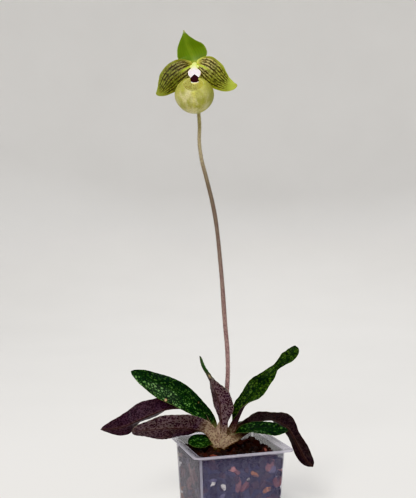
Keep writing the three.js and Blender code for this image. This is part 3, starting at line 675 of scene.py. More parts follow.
def stalk_look(name, stops, dots):
    """A stem, coloured from foot to top by stops, under purple dots."""
    look = Look(name, Roughness=0.55)
    lay, along = look.attributes("lay", "along")
    wander = scaled(noise(lay, 0.12, 2), 0.12, -0.06)
    skin = ramp(plus(along, wander), *stops)
    spots = times(dotted(lay, (0.9, 0.5, 1), 0.55, 0.3), span(along, 1, 0.3, dots, 0.5 * dots))
    streak = noise(stretch(lay, 1.5, 0.12, 1), 1, 2)
    return look.finish(mix(spots, skin, "4d2630"), plus(streak, times(spots, 0.3)))


def crown_look():
    """Pale leaf bases, speckled with purple-brown and darker brown near the mix."""
    look = Look("crown", Roughness=0.5)
    lay, along = look.attributes("lay", "along")
    skin = coats(
        ramp(noise(lay, 0.13, 3), (0.3, "9c8775"), (0.7, "8c7d64")),
        (times(dotted(lay, (0.8, 0.66, 1), 0.58, 0.3), 0.7), "5a363b"),
        (span(along, 0.42, 0.16, 0.85), "33231a"),
    )
    return look.finish(skin, noise(stretch(lay, 1.2, 0.12, 1), 1, 2), 0.0003, 0.6)


def bract_look():
    look = Look("bract", Roughness=0.45, Subsurface_Weight=0.1, Subsurface_Scale=0.001)
    lay = look.attribute("lay")
    green = mix(noise(lay, 0.2, 2), "71892e", "93a24a")
    green = mix(times(dotted(lay, (1.3, 0.9, 1), 0.42, 0.22), 0.75), green, "53262d")
    return look.finish(green, noise(stretch(lay, 1.6, 0.15, 1), 1, 2))


def hair_look(name, tone):
    look = Look(name, Roughness=0.6)
    return look.finish(mix(noise(look.place(), 60, 1), tone, "bcb09d"))


def chunk_look():
    """Bark, pumice and fired clay: tint picks the kind of each piece."""
    look = Look("chunks", Roughness=0.8)
    place = look.place()
    kind = ramp(look.attribute("tint"), *KIND_COLOURS, interpolation="CONSTANT")
    grain = noise(stretch(place, 1, 1, 2.2), 420, 4, 0.6)
    shade = mix(span(grain, 0.35, 0.7, 0.55), kind, "241410")
    return look.finish(shade, grain, 0.0008, 0.7, span(noise(place, 90, 2), 0.3, 0.7, 0.95, 0.6))


def root_look():
    look = Look("root", Roughness=0.85)
    felt = noise(look.place(), 700, 3)
    return look.finish(mix(felt, "6b4a2c", "a98a5c"), felt, 0.0004, 0.7)


def pot_look(name, alpha, low, high):
    """Thin milky plastic between two tones, faintly streaked and scuffed. What is behind shows through."""
    look = Look(name, Roughness=0.3, Alpha=alpha, IOR=1.49)
    place = look.place()
    streaks = noise(stretch(place, 1, 1, 0.04), 260, 3)
    haze = noise(place, 28, 3)
    base = coats(low, (streaks, high), (span(haze, 0.45, 0.75, 0.4), high))
    return look.finish(base, streaks, 0.0001, 0.25, span(haze, 0.3, 0.7, 0.42, 0.22))


# ---- pot

POT = {
    "rim_side": 100, "top_side": 87, "base_side": 76.5, "height": 95, "wall": 1.2, "floor": 1.8,
    "corner": 5.5, "rim_corner": 6, "rim_rise": 1.6, "rim_thick": 1.3, "bead_drop": 1.9,
}
POT_LOOKS = {  # how much it hides, and its two tones
    "wall": (0.17, "5e5e7c", "8c8aa4"),
    "mist": (0.38, "5a5666", "7c7886"),  # the left side, which is hazier
    # corner: thicker plastic at the corners, its pale tones a painted highlight
    "corner": (0.5, "9c9aaa", "b8b6c4"),
    # rim: thicker plastic, its pale tones a painted highlight along its edges
    "rim": (0.6, "9a96a2", "c0bcc8"),
    "painted_shade_band": (0.55, "3c3c44", "5a5a62"),  # painted shade: darker, less clear wall above the mix, at the back and on the right
    "ledge": (0.42, "7c7884", "a29eaa"),  # the top of the rim, between its two bright edges, whose brightness is a painted highlight
}
CORNER_REACH = 0.48  # how far from both walls a corner's thicker plastic and painted highlight reach, in corner radii
LEDGE = (0.2, 0.88)  # where the ledge lies, from the rim's outer edge to its inner one
DRAIN = {"radius": 3.5, "ring": 24, "count": 8, "sides": 24, "z": (-4, 6)}
MIX_TOP = 86


def wall_side(z):
    """The outside of the tapering wall at height z."""
    return POT["base_side"] + (POT["top_side"] - POT["base_side"]) * z / (POT["height"] - POT["rim_rise"])


def wall_corner(z):
    return POT["corner"] * (0.8 + 0.2 * z / POT["height"])


def square_ring(side, corner, z, arcs=12):
    """A square with round corners, counter-clockwise from above."""
    inset = side / 2 - corner
    ring = []
    for quarter, (sx, sy) in enumerate(((1, 1), (-1, 1), (-1, -1), (1, -1))):
        for k in range(arcs + 1):
            angle = math.pi / 2 * (quarter + k / arcs)
            ring.append((sx * inset + corner * math.cos(angle), sy * inset + corner * math.sin(angle), z))
    return np.array(ring)


def outer_ring(z, side=None):
    side = side or wall_side(z)
    return square_ring(side, wall_corner(z) + (side - wall_side(z)) / 2, z)


def inner_ring(z, narrower=0):
    return square_ring(wall_side(z) - 2 * POT["wall"] - narrower, wall_corner(z) - POT["wall"], z)


def pot_rings():
    """The rings of the pot's shell, from its underside round the rim to its floor, and the ledge's."""
    height, thick, drop = POT["height"], POT["rim_thick"], POT["bead_drop"]
    root = height - POT["rim_rise"]
    wall_top = root - thick
    rings = [outer_ring(0, wall_side(0) - 2), outer_ring(0.3, wall_side(0) - 0.6), outer_ring(1)]
    rings += [outer_ring(z) for z in [*np.linspace(3, wall_top - 3, 12), wall_top - 1.5]]
    rings += [outer_ring(wall_top - 0.4, POT["top_side"] + 0.5), outer_ring(wall_top, POT["top_side"] + 2)]
    bead = (  # how much narrower than the rim, how much tighter its corners, and how far down
        (2 * thick + 0.4, thick, thick), (2 * thick, thick, thick + 0.3), (2 * thick, thick, drop),
        (0.6, 0.3, drop), (0.1, 0, drop - 0.3), (0, 0, drop - 0.7), (0, 0, 0.8), (0.2, 0, 0.3),
        (1.2, 0.5, 0),
    )
    rings += [square_ring(POT["rim_side"] - a, POT["rim_corner"] - b, height - down) for a, b, down in bead]
    ledge = [rings[-1] + (inner_ring(root) - rings[-1]) * share for share in LEDGE]
    inside = [root, root - 0.7, root - 4, *np.linspace(root - 10, POT["floor"] + 1, 10)]
    rings += [*ledge, *(inner_ring(z) for z in inside), inner_ring(POT["floor"], 2)]
    return rings, ledge


def pot_part(face, ledge_in, ledge_out):
    """Which of POT_LOOKS a face of the pot has. The ledge runs between the two distances from the middle."""
    x, y, z = face.center / MM
    far, near = max(abs(x), abs(y)), min(abs(x), abs(y))
    if z > POT["height"] - POT["rim_rise"] - POT["rim_thick"] - 1:
        return "ledge" if face.normal.z > 0.9 and ledge_in < far < ledge_out else "rim"
    if near > wall_side(z) / 2 - CORNER_REACH * wall_corner(z):
        return "corner"
    wall_at = wall_side(z) / 2 - POT["wall"] - 0.5
    # painted shade on the wall above the mix, at the back and on the right
    if z > MIX_TOP - 2 and max(x, y) > wall_at:
        return "painted_shade_band"
    return "mist" if x < -wall_at else "wall"


def drill(pot):
    """Cuts the drain holes with a ring of rods."""
    rods = []
    for at in circle(DRAIN["count"]):
        x = DRAIN["ring"] * math.cos(at) + DRAIN["radius"] * np.cos(circle(DRAIN["sides"]))
        y = DRAIN["ring"] * math.sin(at) + DRAIN["radius"] * np.sin(circle(DRAIN["sides"]))
        points = np.vstack([np.stack([x, y, 0 * x + z], 1) for z in DRAIN["z"]])
        rods.append((points, tube_faces(2, DRAIN["sides"]), {}))
    points, faces, _ = joined(*rods)
    drills = added("drills", mesh_of("drills", points * MM, faces, smooth=False))
    cut = pot.modifiers.new("drain_holes", "BOOLEAN")
    cut.operation = "DIFFERENCE"
    cut.object = drills
    cut.solver = "EXACT"
    bpy.context.view_layer.objects.active = pot
    pot.select_set(True)
    bpy.ops.object.modifier_apply(modifier="drain_holes")
    bpy.data.objects.remove(drills)


def make_pot():
    rings, ledge = pot_rings()
    looks = [pot_look("pot_" + name, *look) for name, look in POT_LOOKS.items()]
    pot = piece("pot_shell", rings, tube_faces(len(rings), len(rings[0])), ROW, looks, "pot")
    ledge_out, ledge_in = (np.abs(ring[:, 0]).max() for ring in ledge)
    for face in pot.data.polygons:
        face.material_index = list(POT_LOOKS).index(pot_part(face, ledge_in, ledge_out))
    drill(pot)
    pot.modifiers.new("even_shading", "WEIGHTED_NORMAL").keep_sharp = True


# ---- potting mix

CLEAR = 0.4  # between the mix and the wall
CHUNK_SIZE = (3.2, 6.2)
BED = {  # its grid of pieces, and the small ones that are strewn on it
    "half": 37, "pitch": 8.2, "jitter": 2.2, "sink": 2.2, "brick_share": 0.2,
    "small": 60, "small_size": (0.9, 1.9), "small_lift": (-0.5, 1.4),
}
WALL = {  # the pieces against the walls
    "pitch": 8.4, "row_pitch": 6.888, "lowest": 6, "margin": 2.5, "depth": (0.35, 1.1), "jitter": (2, 2.4),
    "round_share": 0.12, "dark_above": MIX_TOP - 6,
}
SEEN_SIDES = (1, 2)  # left and front, where the paler pieces are those in FEATURES
# what a piece is made of, by its place in KIND_COLOURS; below top all is dark bark
KINDS = {"top": 0.34, "brick": 0.56, "rose": 0.64, "plain": 0.8, "pink": 0.86, "clay": 0.91, "cream": 0.95,
         "white": 0.99}
KIND_COLOURS = (
    (0, "110908"), (0.1, "1e0d0a"), (0.2, "32140f"), (0.28, "0a0606"), (0.34, "3c211d"), (0.42, "150f14"),
    (0.5, "7c443a"), (0.56, "2a2c44"), (0.63, "946058"), (0.68, "301a15"), (0.72, "625e78"),
    (0.77, "ac7870"), (0.84, "c98477"), (0.89, "bd7a42"), (0.93, "ddd3bf"), (0.97, "f0ebe2"),
)
# the paler pieces that show against the front wall: place across the pot, height, size and kind
FEATURES = (
    (-10.7, 78.2, 4.2, "pink"), (-28.3, 67.1, 3.6, "white"), (-18.2, 61.8, 4.4, "white"),
    (12.5, 72.5, 4.0, "clay"), (6.5, 67.4, 2.4, "cream"), (25.4, 55.4, 4.4, "clay"), (27, 79, 6.4, "rose"),
    (-31, 44, 4.0, "cream"), (4, 40, 4.2, "white"), (30, 30, 3.8, "pink"), (-14, 22, 4.4, "cream"),
)
SPECKS = ((33.5, -15, 1.6, "rose"), (-30, 12, 1.8, "pink"))  # on the bed: x, y, size and kind
CORE = {"heights": (3, 30, 60, 82.4, 82.6), "inset": 9, "corner": 3, "tint": 0.6, "top_tint": 0.25}


def icosphere(subdivisions):
    t = (1 + 5**0.5) / 2
    signs = ((-1, t), (1, t), (-1, -t), (1, -t))
    points = [(a, b, 0) for a, b in signs] + [(0, a, b) for a, b in signs] + [(b, 0, a) for a, b in signs]
    points = [unit(np.array(p)) for p in points]
    faces = [(0, 11, 5), (0, 5, 1), (0, 1, 7), (0, 7, 10), (0, 10, 11), (1, 5, 9), (5, 11, 4), (11, 10, 2),
             (10, 7, 6), (7, 1, 8), (3, 9, 4), (3, 4, 2), (3, 2, 6), (3, 6, 8), (3, 8, 9), (4, 9, 5),
             (2, 4, 11), (6, 2, 10), (8, 6, 7), (9, 8, 1)]
    for _ in range(subdivisions):
        middles, finer = {}, []
        for a, b, c in faces:
            halves = []
            for pair in ((a, b), (b, c), (c, a)):
                key = tuple(sorted(pair))
                if key not in middles:
                    middles[key] = len(points)
                    points.append(unit(points[pair[0]] + points[pair[1]]))
                halves.append(middles[key])
            ab, bc, ca = halves
            finer += [(a, ab, ca), (b, bc, ab), (c, ca, bc), (ab, bc, ca)]
        faces = finer
    return np.array(points), [list(f) for f in faces]


BALL = icosphere(2)
ROUND_BALL = icosphere(3)


def chunk(centre, size, tint, rng, rounded=False):
    """A broken piece: a ball chopped by random planes, roughened, stretched and turned. A rounded one isn't
    chopped, and is only slightly flattened."""
    points = BALL[0].copy()
    if not rounded:
        for _ in range(9):
            plane = unit(rng.normal(size=3))
            beyond = points @ plane - rng.uniform(0.45, 0.8)
            points -= np.clip(beyond, 0, None)[:, None] * plane
    points *= 1 + 0.05 * rng.normal(size=(len(points), 1))
    ranges = ((1, 1), (0.9, 0.9), (0.85, 0.85)) if rounded else ((1.2, 1.8), (0.8, 1.1), (0.5, 0.8))
    points *= np.array([a if rounded else rng.uniform(a, b) for a, b in ranges]) * size
    turn = np.linalg.qr(rng.normal(size=(3, 3)))[0]
    if np.linalg.det(turn) < 0:
        turn[:, 0] *= -1
    return points @ turn.T + centre, BALL[1], {"tint": np.full(len(points), tint)}


def bed_chunks(rng):
    """The uneven top of the bed, and the small pieces strewn on it."""
    half, jitter = BED["half"], BED["jitter"]
    row = np.arange(-half, half + 1, BED["pitch"])
    for x in row:
        for y in row:
            shift = rng.uniform(-jitter, jitter, 3) * (1, 1, 0.6)
            size = rng.uniform(*CHUNK_SIZE)
            dark = rng.random() * KINDS["top" if rng.random() < 1 - BED["brick_share"] else "brick"]
            yield chunk(shift + (x, y, MIX_TOP - BED["sink"]), size, dark, rng)
    for _ in range(BED["small"]):
        at = [*rng.uniform(-half, half, 2), MIX_TOP + rng.uniform(*BED["small_lift"])]
        yield chunk(at, rng.uniform(*BED["small_size"]), rng.random() * KINDS["top"], rng)


def wall_chunks(rng):
    """The pieces that lie against the four walls."""
    aside, up = WALL["jitter"]
    for side in range(4):
        for z in np.arange(WALL["lowest"], MIX_TOP - 4, WALL["row_pitch"]):
            reach = wall_side(z) / 2 - POT["wall"] - CLEAR
            last = reach - WALL["margin"]
            for u in np.linspace(-last, last, round(2 * reach / WALL["pitch"])):
                size = rng.uniform(*CHUNK_SIZE)
                depth = reach - size * rng.uniform(*WALL["depth"])
                at = (u + rng.uniform(-aside, aside), depth, z + rng.uniform(-up, up))
                kind = rng.random() * (KINDS["plain"] if side in SEEN_SIDES or u > 0 else 1)
                if z > WALL["dark_above"]:
                    kind %= KINDS["top"]
                rounded = rng.random() < WALL["round_share"]
                yield chunk(moved(at, turned("Z", 90 * side)), size, kind, rng, rounded)


def pale_chunks(rng):
    for across, z, size, kind in FEATURES:
        yield chunk((across, 0.55 * size + POT["wall"] - wall_side(z) / 2, z), size, KINDS[kind], rng)
    for x, y, size, kind in SPECKS:
        yield chunk((x, y, MIX_TOP + 1.5), size, KINDS[kind], rng)


def core():
    """The dark body that fills the middle of the bed, browner on top."""
    rings = [square_ring(wall_side(z) - 2 * POT["wall"] - CORE["inset"], CORE["corner"], z, 3)
             for z in CORE["heights"]]
    columns = len(rings[0])
    tint = np.full(len(rings) * columns, CORE["tint"])
    tint[-columns:] = CORE["top_tint"]
    return np.vstack(rings), tube_faces(len(rings), columns), {"tint": tint}


def make_mix():
    rng = np.random.default_rng(11)
    points, faces, attributes = joined(*bed_chunks(rng), *wall_chunks(rng), *pale_chunks(rng), core())
    x, y, z = points.T
    z = np.clip(z, POT["floor"] + CLEAR, MIX_TOP + 4)
    reach = wall_side(z) / 2 - POT["wall"] - CLEAR
    points = np.stack([np.clip(x, -reach, reach), np.clip(y, -reach, reach), z], 1)
    piece("mix_pieces", points, faces, ROW, [chunk_look()], "potting_mix", smooth=False, **attributes)


# ---- crown and flower stem

CROWN = [
    (-7, 4.6, 4.2, 0), (0, 5.2, 4.8, 0.2), (6, 5.8, 5.4, 0.8), (12, 6.4, 5.8, 1.8), (18, 6.4, 5.6, 3),
    (23, 5.4, 5, 4.2), (27, 4.2, 4, 5),
]  # height, half width, half depth and shift to the right

SCAPE = {
    "path": [
        (4.2, 0, 10), (7.5, 0, 48), (9.3, 0, 77), (8.8, 0, 100), (6.6, 0, 125), (2.7, 0, 177),
        (-2.2, 0, 225),
        (-6, 0, 246), (-11.7, 0, 269), (-17, 0, 290), (-19.2, 0, 307), (-19, 1, 324), (-20.5, 2.5, 345),
    ],
    "radius": ((0, 2.3), (0.5, 2.1), (1, 1.75)),
    "colours": ((0, "977779"), (0.36, "7e6761"), (0.6, "63564a"), (0.74, "5a4f3d"), (0.86, "8b8165"),
                (1, "a89f6c")),
}
STEM_LAY = (2.1, 0)  # millimetres to a radian of its girth, and the seed of its pattern


def stalk(name, node, spine, radius, place, look, girth, seed):
    """A tube as a piece. Its lay is girth wide for each radian. It returns its points and the ways out."""
    steps, sides = FINENESS[node]
    points, ring, t, angle = tube(spine, radius, steps, sides)
    lay = np.stack(np.broadcast_arrays(angle * girth, t[:, None] * spine.length, seed), -1)
    along = np.broadcast_to(t[:, None], ring.shape[:2])
    piece(name, points, tube_faces(steps + 1, sides), place, [look], node, lay=lay, along=along)
    return points.reshape(-1, 3), ring.reshape(-1, 3)


def make_crown():
    low, high = CROWN[0][0], CROWN[-1][0]
    rows, columns = FINENESS["crown"]
    z = np.linspace(low, high, rows)[:, None]
    angle = circle(columns)
    table = np.array(CROWN, float)
    wide, deep, shift = (through(table[:, [0, k]], z) for k in (1, 2, 3))
    ridge = 1 + 0.05 * np.cos(5 * angle + 0.16 * z) + 0.02 * np.cos(17 * angle)
    ridge = ridge + 0.04 * np.maximum(0, np.sin(2 * np.pi * (z / 9 + angle / np.pi))) ** 6
    x, y = shift + wide * ridge * np.cos(angle), deep * ridge * np.sin(angle)
    points, lay = (np.stack(np.broadcast_arrays(*axes), -1) for axes in ((x, y, z), (8 * angle, z, 0)))
    along = np.broadcast_to((z - low) / (high - low), ridge.shape)
    piece("crown_sheaths", points, tube_faces(rows, columns), PLANT, [crown_look()], "crown", lay=lay,
          along=along)


def make_scape():
    spine = Spine(SCAPE["path"])
    rng = np.random.default_rng(3)
    phase = rng.uniform(0, 6, 3)

    def radius(t, angle):
        swell = 0.05 * np.sin(19 * t + phase[0]) + 0.03 * np.sin(47 * t + phase[1])
        return through(SCAPE["radius"], t) * (1 + swell + 0.03 * np.cos(5 * angle + 20 * t))

    skin = stalk_look("scape", SCAPE["colours"], 0.75)
    stalk("flower_stem", "scape", spine, radius, PLANT, skin, *STEM_LAY)
    count = HAIRS["stem"][0]
    at = rng.random(count)
    turn = 2 * np.pi * rng.random(count)[:, None]
    first, second = spine.around(at)
    outward = first * np.cos(turn) + second * np.sin(turn)
    roots = spine.at(at) + outward * (through(SCAPE["radius"], at) * 0.97)[:, None]
    hairs("stem", "scape", roots, outward, rng, PLANT)


# ---- leaves

# purple and warm tint a leaf; shade darkens it with painted shade, and far_shade adds more on its right
# half, as seen from its foot.
# Its pale base reaches up to bare, and its underside turns green from the first of fresh to the second. A
# scar has a place along it, a place across it and a size.
LEAF = {
    "clasps": True, "rib": (0.7, 0.45), "frill": (0.18, 17), "purple": 0.3, "warm": 0, "shade": 0,
    "far_shade": 0, "bare": 0.06, "fresh": (2, 3), "scar": (),
}
LEAVES = {
    "leaf_centre_upright": {
        "slot": "leaf_purple", "purple": 0.3, "fresh": (0.7, 0.84),
        "scar": ((0.76, -0.6, 0.02),),
        "spine": [(1.2, -5, 2), (2.6, -7, 15), (2.8, -11, 37), (1.6, -14, 46.7), (-0.4, -18, 54.4),
                  (-3.7, -22, 63), (-7.8, -27, 71.6), (-11.8, -31, 80), (-16, -34, 88), (-18.6, -36, 98)],
        "half": ((-0.14, 9), (-0.03, 7.4), (0.07, 5.4), (0.15, 6.4), (0.22, 9.2), (0.32, 13.4), (0.5, 13.4),
                 (0.64, 9), (0.75, 5.4), (0.88, 4.4), (1, 1.4)),
        "roll": ((0, 0), (0.5, 8), (0.72, 30), (1, 62)),
        "fold": ((-0.14, 36), (0.02, 46), (0.3, 22), (0.7, 30), (1, 45)),
    },
    "leaf_left_upper": {
        "slot": "leaf_green",
        "spine": [(-4.6, 1.6, 2), (-5.6, 3, 14), (-9.6, 6, 25), (-21.1, 8, 38.6), (-36, 9.2, 51),
                  (-54.8, 13.4, 60.2), (-73.2, 18.4, 67.4), (-90, 22, 74)],
        "half": ((-0.1, 8), (0, 6.4), (0.2, 9.4), (0.45, 13.6), (0.65, 13.8), (0.85, 9.8), (0.96, 4.2),
                 (1, 1.4)),
        "roll": ((-0.1, 0), (0, 6), (0.3, 40), (0.7, 50), (1, 45)),
        "fold": ((-0.1, 42), (0, 55), (0.15, 34), (0.3, 2), (0.45, -12), (0.7, -14), (1, 0)),
        "wave": (1.2, 2.2, 0.5), "far_shade": 0.55,
        "scar": ((0.575, -0.86, 0.01), (0.3, 0.5, 0.004)),
    },
    "leaf_right_upper": {
        "slot": "leaf_green", "warm": 1.0, "purple": 0.6, "shade": 0.5,
        "spine": [(5.6, 2.2, 2), (11, 3.6, 9.5), (16.6, 5, 18.7), (19.4, 6.5, 27.3), (22.9, 8, 35),
                  (27.4, 11, 42.5), (32.8, 15, 49), (39.6, 21, 56.4), (50, 30, 65.4), (60.2, 36, 75.6),
                  (67.8, 40, 81.5), (76.6, 45, 86.8), (81, 47.4, 92.2), (82.3, 49, 97.2)],
        "half": ((-0.08, 8), (0, 8), (0.1, 8), (0.2, 8.6), (0.3, 11.4), (0.42, 11.2), (0.59, 8.8),
                 (0.69, 5), (0.73, 3.6), (0.8, 4.8), (0.87, 7.6), (0.94, 7), (0.98, 4.6), (1, 2.4)),
        "roll": ((-0.08, 0), (0, 36), (0.1, 45), (0.2, 25), (0.3, -8), (0.38, -26), (0.55, -32),
                 (0.73, -62), (0.86, -40), (1, -30)),
        "fold": ((-0.08, 42), (0, 50), (0.1, 50), (0.2, 42), (0.3, 26), (0.38, 16), (0.7, 8), (1, 8)),
        "wave": (2.1, 3.4, 1.2),
    },
    "leaf_left_far": {
        "slot": "leaf_purple", "purple": 0.9, "shade": 0.5,
        "spine": [(-5, 2.8, 3), (-7.4, 4.8, 12), (-18, 12, 27), (-35, 20, 35.6), (-55, 26, 33.6),
                  (-68.8, 29, 28), (-82.3, 31, 21.8), (-92, 33, 17), (-102.6, 34, 13.4),
                  (-123.3, 36, 10.5)],
        "half": ((-0.1, 8), (0, 6.4), (0.2, 12), (0.42, 15), (0.6, 16), (0.74, 14.4), (0.86, 11.4),
                 (0.96, 4.8), (1, 1.4)),
        "roll": ((-0.1, 0), (0, -10), (0.3, -48), (0.6, -54), (0.72, -58), (0.82, -66), (0.9, -60),
                 (1, -50)),
        "fold": ((-0.1, 42), (0, 55), (0.3, 46), (0.6, 44), (0.72, 44), (0.82, 12), (1, 6)),
        "wave": (1.8, 3, 0),
    },
    "leaf_right_arching": {
        "slot": "leaf_purple", "purple": 0.35, "shade": 0.82,
        "spine": [(7, 3.4, 2.6), (9.4, 5.6, 8.6), (21, 14, 15.6), (32.8, 22, 18.8), (41.5, 29, 20.6),
                  (50.3, 35, 21), (58.6, 41, 19.4), (66.8, 46, 15), (75.2, 51, 8.4), (81, 54, -0.8),
                  (86.2, 56, -11), (91.4, 58, -21), (96.4, 59, -29), (103, 60, -35.6)],
        "half": ((-0.1, 7.5), (0, 6.4), (0.2, 10.8), (0.42, 12.8), (0.56, 12), (0.68, 8.4), (0.84, 8.8),
                 (0.94, 7.6), (0.98, 4.8), (1, 2)),
        "roll": ((-0.1, 0), (0, 10), (0.2, 30), (0.4, 26), (0.6, 38), (1, 44)),
        "fold": ((-0.1, 42), (0, 55), (0.25, 40), (0.6, 26), (1, 12)),
        "wave": (1.6, 3.5, 2),
    },
    "leaf_left_front": {
        "slot": "leaf_purple", "purple": 0.15, "shade": 0.34, "bare": 0.18,
        "spine": [(-5, -3.8, 1), (-7, -5.4, 9), (-14.5, -10.4, 19.6), (-28, -20, 25), (-45, -31, 28.2),
                  (-65, -42, 29.4), (-82, -50, 29.8)],
        "half": ((-0.1, 9), (0, 9.4), (0.1, 10.6), (0.2, 12), (0.32, 13.2), (0.45, 15), (0.66, 13.8),
                 (0.84, 10.4), (0.94, 7.4), (0.98, 4.6), (1, 2)),
        "roll": ((-0.1, 0), (0, -14), (0.25, -52), (0.6, -64), (1, -55)),
        "fold": ((-0.1, 42), (0, 52), (0.25, 20), (0.6, 8), (1, 8)),
        "wave": (0.9, 2.5, 1),
    },
    "leaf_right_lower": {
        "slot": "leaf_green", "purple": 0.3, "shade": 0.45, "bare": 0.27,
        "spine": [(5.4, -4.4, 1), (7, -5, 3.4), (11, -5.6, 5.8), (18.3, -7, 10.2), (24.4, -8.4, 15.4),
                  (31.4, -10, 20.2), (38, -11, 22.4), (48.5, -13, 22.6), (59.3, -14, 21.5),
                  (68.6, -14, 22.1)],
        "half": ((-0.06, 8), (0, 8), (0.12, 9.4), (0.24, 10.6), (0.34, 10.2), (0.45, 8.8), (0.6, 8.2),
                 (0.78, 8.2), (0.92, 4.6), (1, 1.2)),
        "roll": ((-0.06, 0), (0.1, 30), (0.2, 14), (0.3, -6), (0.42, -24), (0.6, -34), (0.8, -38),
                 (1, -30)),
        "fold": ((-0.06, 42), (0, 48), (0.3, 48), (0.45, 32), (0.6, 15), (1, 10)),
    },
    "leaf_front_small": {
        "slot": "leaf_green", "shade": 0.2,
        "spine": [(-5.4, -6.4, 0.6), (-7, -7.4, 5.4), (-12.5, -9.4, 9.2), (-20.3, -13, 10.2),
                  (-30, -17, 10.8)],
        "half": ((-0.3, 4.4), (0, 4), (0.26, 7), (0.55, 8), (0.8, 6.6), (0.95, 3.4), (1, 1.6)),
        "roll": ((-0.3, 0), (0, 20), (0.4, 42), (1, 42)),
        "fold": ((-0.3, 40), (0, 40), (0.4, 12), (1, 8)),
    },
}


def scars(form, along, across):
    """How scarred a leaf is at each point, from the place and size of its scars."""
    scar = np.zeros(len(along))
    for t, s, size in form["scar"]:
        far = np.hypot(along - t, (across - s) * 0.13)
        scar = np.maximum(scar, np.clip(1.6 - far / size, 0, 1))
    return scar


def make_leaves():
    looks = [leaf_top(), leaf_under()]
    for number, (node, form) in enumerate(LEAVES.items()):
        form = {**LEAF, **form}
        points, faces, face_looks, _, attributes = blade(form, *FINENESS["leaf"], seed=37 * number)
        along, across = attributes["along"], attributes["across"]
        low, high = form["fresh"]
        attributes["fresh"] = np.clip((along - low) / (high - low), 0, 1)
        # painted shade: the whole leaf darker, and darker still on its far half, where less light falls
        attributes["shade"] = form["shade"] + form["far_shade"] * np.clip((across + 0.1) / 0.3, 0, 1)
        attributes["scar"] = scars(form, along, across)
        for key in ("purple", "warm", "bare"):
            attributes[key] = form[key]
        piece(node + "_blade", points, faces, PLANT, looks, node, form["slot"], face_looks, **attributes)


# ---- flower

PETAL_NET = {"lines": 4.6, "links": 12}  # lines from the middle to an edge, and cells from base to tip
PETAL = {"fold": ((0, 28), (0.3, -6), (0.7, -10), (1, 10)), "wave": (0.5, 1.6, 0.8), "frill": (0.12, 9),
         "thick": 0.9, "veins": (6.5, 0.12), "tip": 0.012}
PETALS = {
    "petal_left": {
        # shade is painted shade, deepest on the left petal, which faces away from the light
        "shade": 0.44, "clear": 1.0,
        "side": (-0.5, 0, 0.86),
        "spine": [(-1.8, -1, 0.2), (-9.7, -2, -3.2), (-18.8, -3.4, -7.5), (-25.4, -4, -12),
                  (-30, -4.2, -16.3), (-34.4, -4, -20), (-38.4, -3.4, -22.2), (-41.4, -3, -23.2)],
        "half": ((0, 4.2), (0.18, 11.4), (0.3, 13.2), (0.4, 13.6), (0.58, 12.4), (0.7, 10.2), (0.84, 6.6),
                 (0.94, 3.4), (1, 1)),
    },
    "petal_right": {
        "shade": 0.1, "clear": 0.88,
        "side": (-0.6, 0, -0.8),
        "spine": [(1.8, -1, 0.2), (6.8, -1.6, -2.2), (10.9, -2.4, -5.1), (16.2, -3.4, -10.9),
                  (22.8, -4, -18.5),
                  (27.3, -4, -22.4), (31, -3.6, -24.3), (35.2, -3, -25.5), (39, -2.4, -25.4)],
        "half": ((0, 4.2), (0.12, 9.8), (0.23, 12.8), (0.4, 13.2), (0.6, 10.4), (0.74, 8), (0.84, 6),
                 (0.93, 3.4), (1, 1)),
    },
}
GREEN_TEPAL = {"thick": 0.9, "rib": (0.5, 0.1), "frill": (0.1, 5), "tip": 0.012, "veins": (6, 0.1)}
SEPAL = {
    "spine": [(0, 1.6, 1.4), (-0.6, 2.8, 9.7), (-2.2, 2.2, 14.6), (-3.7, 0.8, 19.2), (-4.8, -1.4, 24.6),
              (-5.4, -3.6, 29.8), (-5.8, -4.8, 33.8)],
    "half": ((0, 5), (0.12, 12.6), (0.24, 15), (0.39, 14.4), (0.54, 12), (0.71, 7.4), (0.86, 2.9),
             (0.94, 1.2), (1, 0.6)),
    "fold": ((0, 6), (0.3, 9), (0.7, 16), (1, 16)),
    "side": (1, 0, 0),
}
SYNSEPAL = {
    "spine": [(0, 2.6, -3.4), (0, 7.4, -12), (0, 10.4, -25), (0, 8, -39)],
    "half": ((0, 3.4), (0.2, 9), (0.45, 11.5), (0.7, 9.2), (0.9, 4), (1, 0.9)),
    "fold": ((0, 30), (0.4, 10), (1, 12)),
    "side": (-1, 0, 0),
}
STAMINODE = {
    "spine": [(0, -8.8, -1.6), (0, -12.4, -4.8), (0.2, -15.2, -10.2), (0.5, -16.8, -15.4),
              (0.9, -17.4, -20.6)],
    "half": ((0, 2), (0.14, 3.2), (0.36, 6.3), (0.5, 6), (0.62, 4.4), (0.78, 4.2), (0.92, 3.2), (1, 1.6)),
    "fold": ((0, -25), (0.4, -18), (1, -10)),
    "side": (-1, 0, 0), "thick": 1.3, "tip": 0.06,
}
# shares of its length at the middle of the patch's upper and lower ends, and how both change outwards
STAMINODE_PATCH = {"apex": 0.52, "roof": 0.033, "foot": 0.905, "corner": 0.0045}
POUCH = {
    "centre": (0.1, -14, -29.8), "radius": (19.1, 18.8, 18.1), "crest": 17, "taper": 0.07, "wall": 1,
    "mouth_tilt": 41, "mouth_turn": -5, "mouth_pinch": 4,
    "lip": ((46, 1), (42, 0.985), (38.5, 0.945), (37, 0.895), (38.2, 0.865), (40.5, 0.88), (44, 0.925)),
}
CLAW = {
    "spine": [(0, -1.2, -3.4), (0, -2.4, -6.8), (0, -5.6, -10.6), (0, -11.6, -13.2)],
    "half": ((0, 2.2), (0.4, 3.6), (1, 6)),
    "fold": ((0, -20), (1, -8)),
    "side": (1, 0, 0), "thick": 1.3, "tip": 0.0001,
}
COLUMN = {
    "path": [(0, 0.4, 0), (0, -4.5, -0.8), (0, -9, -3.6)],
    "radius": ((0, 2.5), (0.5, 2.5), (1, 2.1)),
    "anther": {"radius": 1.6, "at": (2.7, -5.6, -2.4)},
    "stigma": {"radius": (3, 2.6, 1.4), "tilt": 20, "at": (0, -6.2, -5.6)},
}
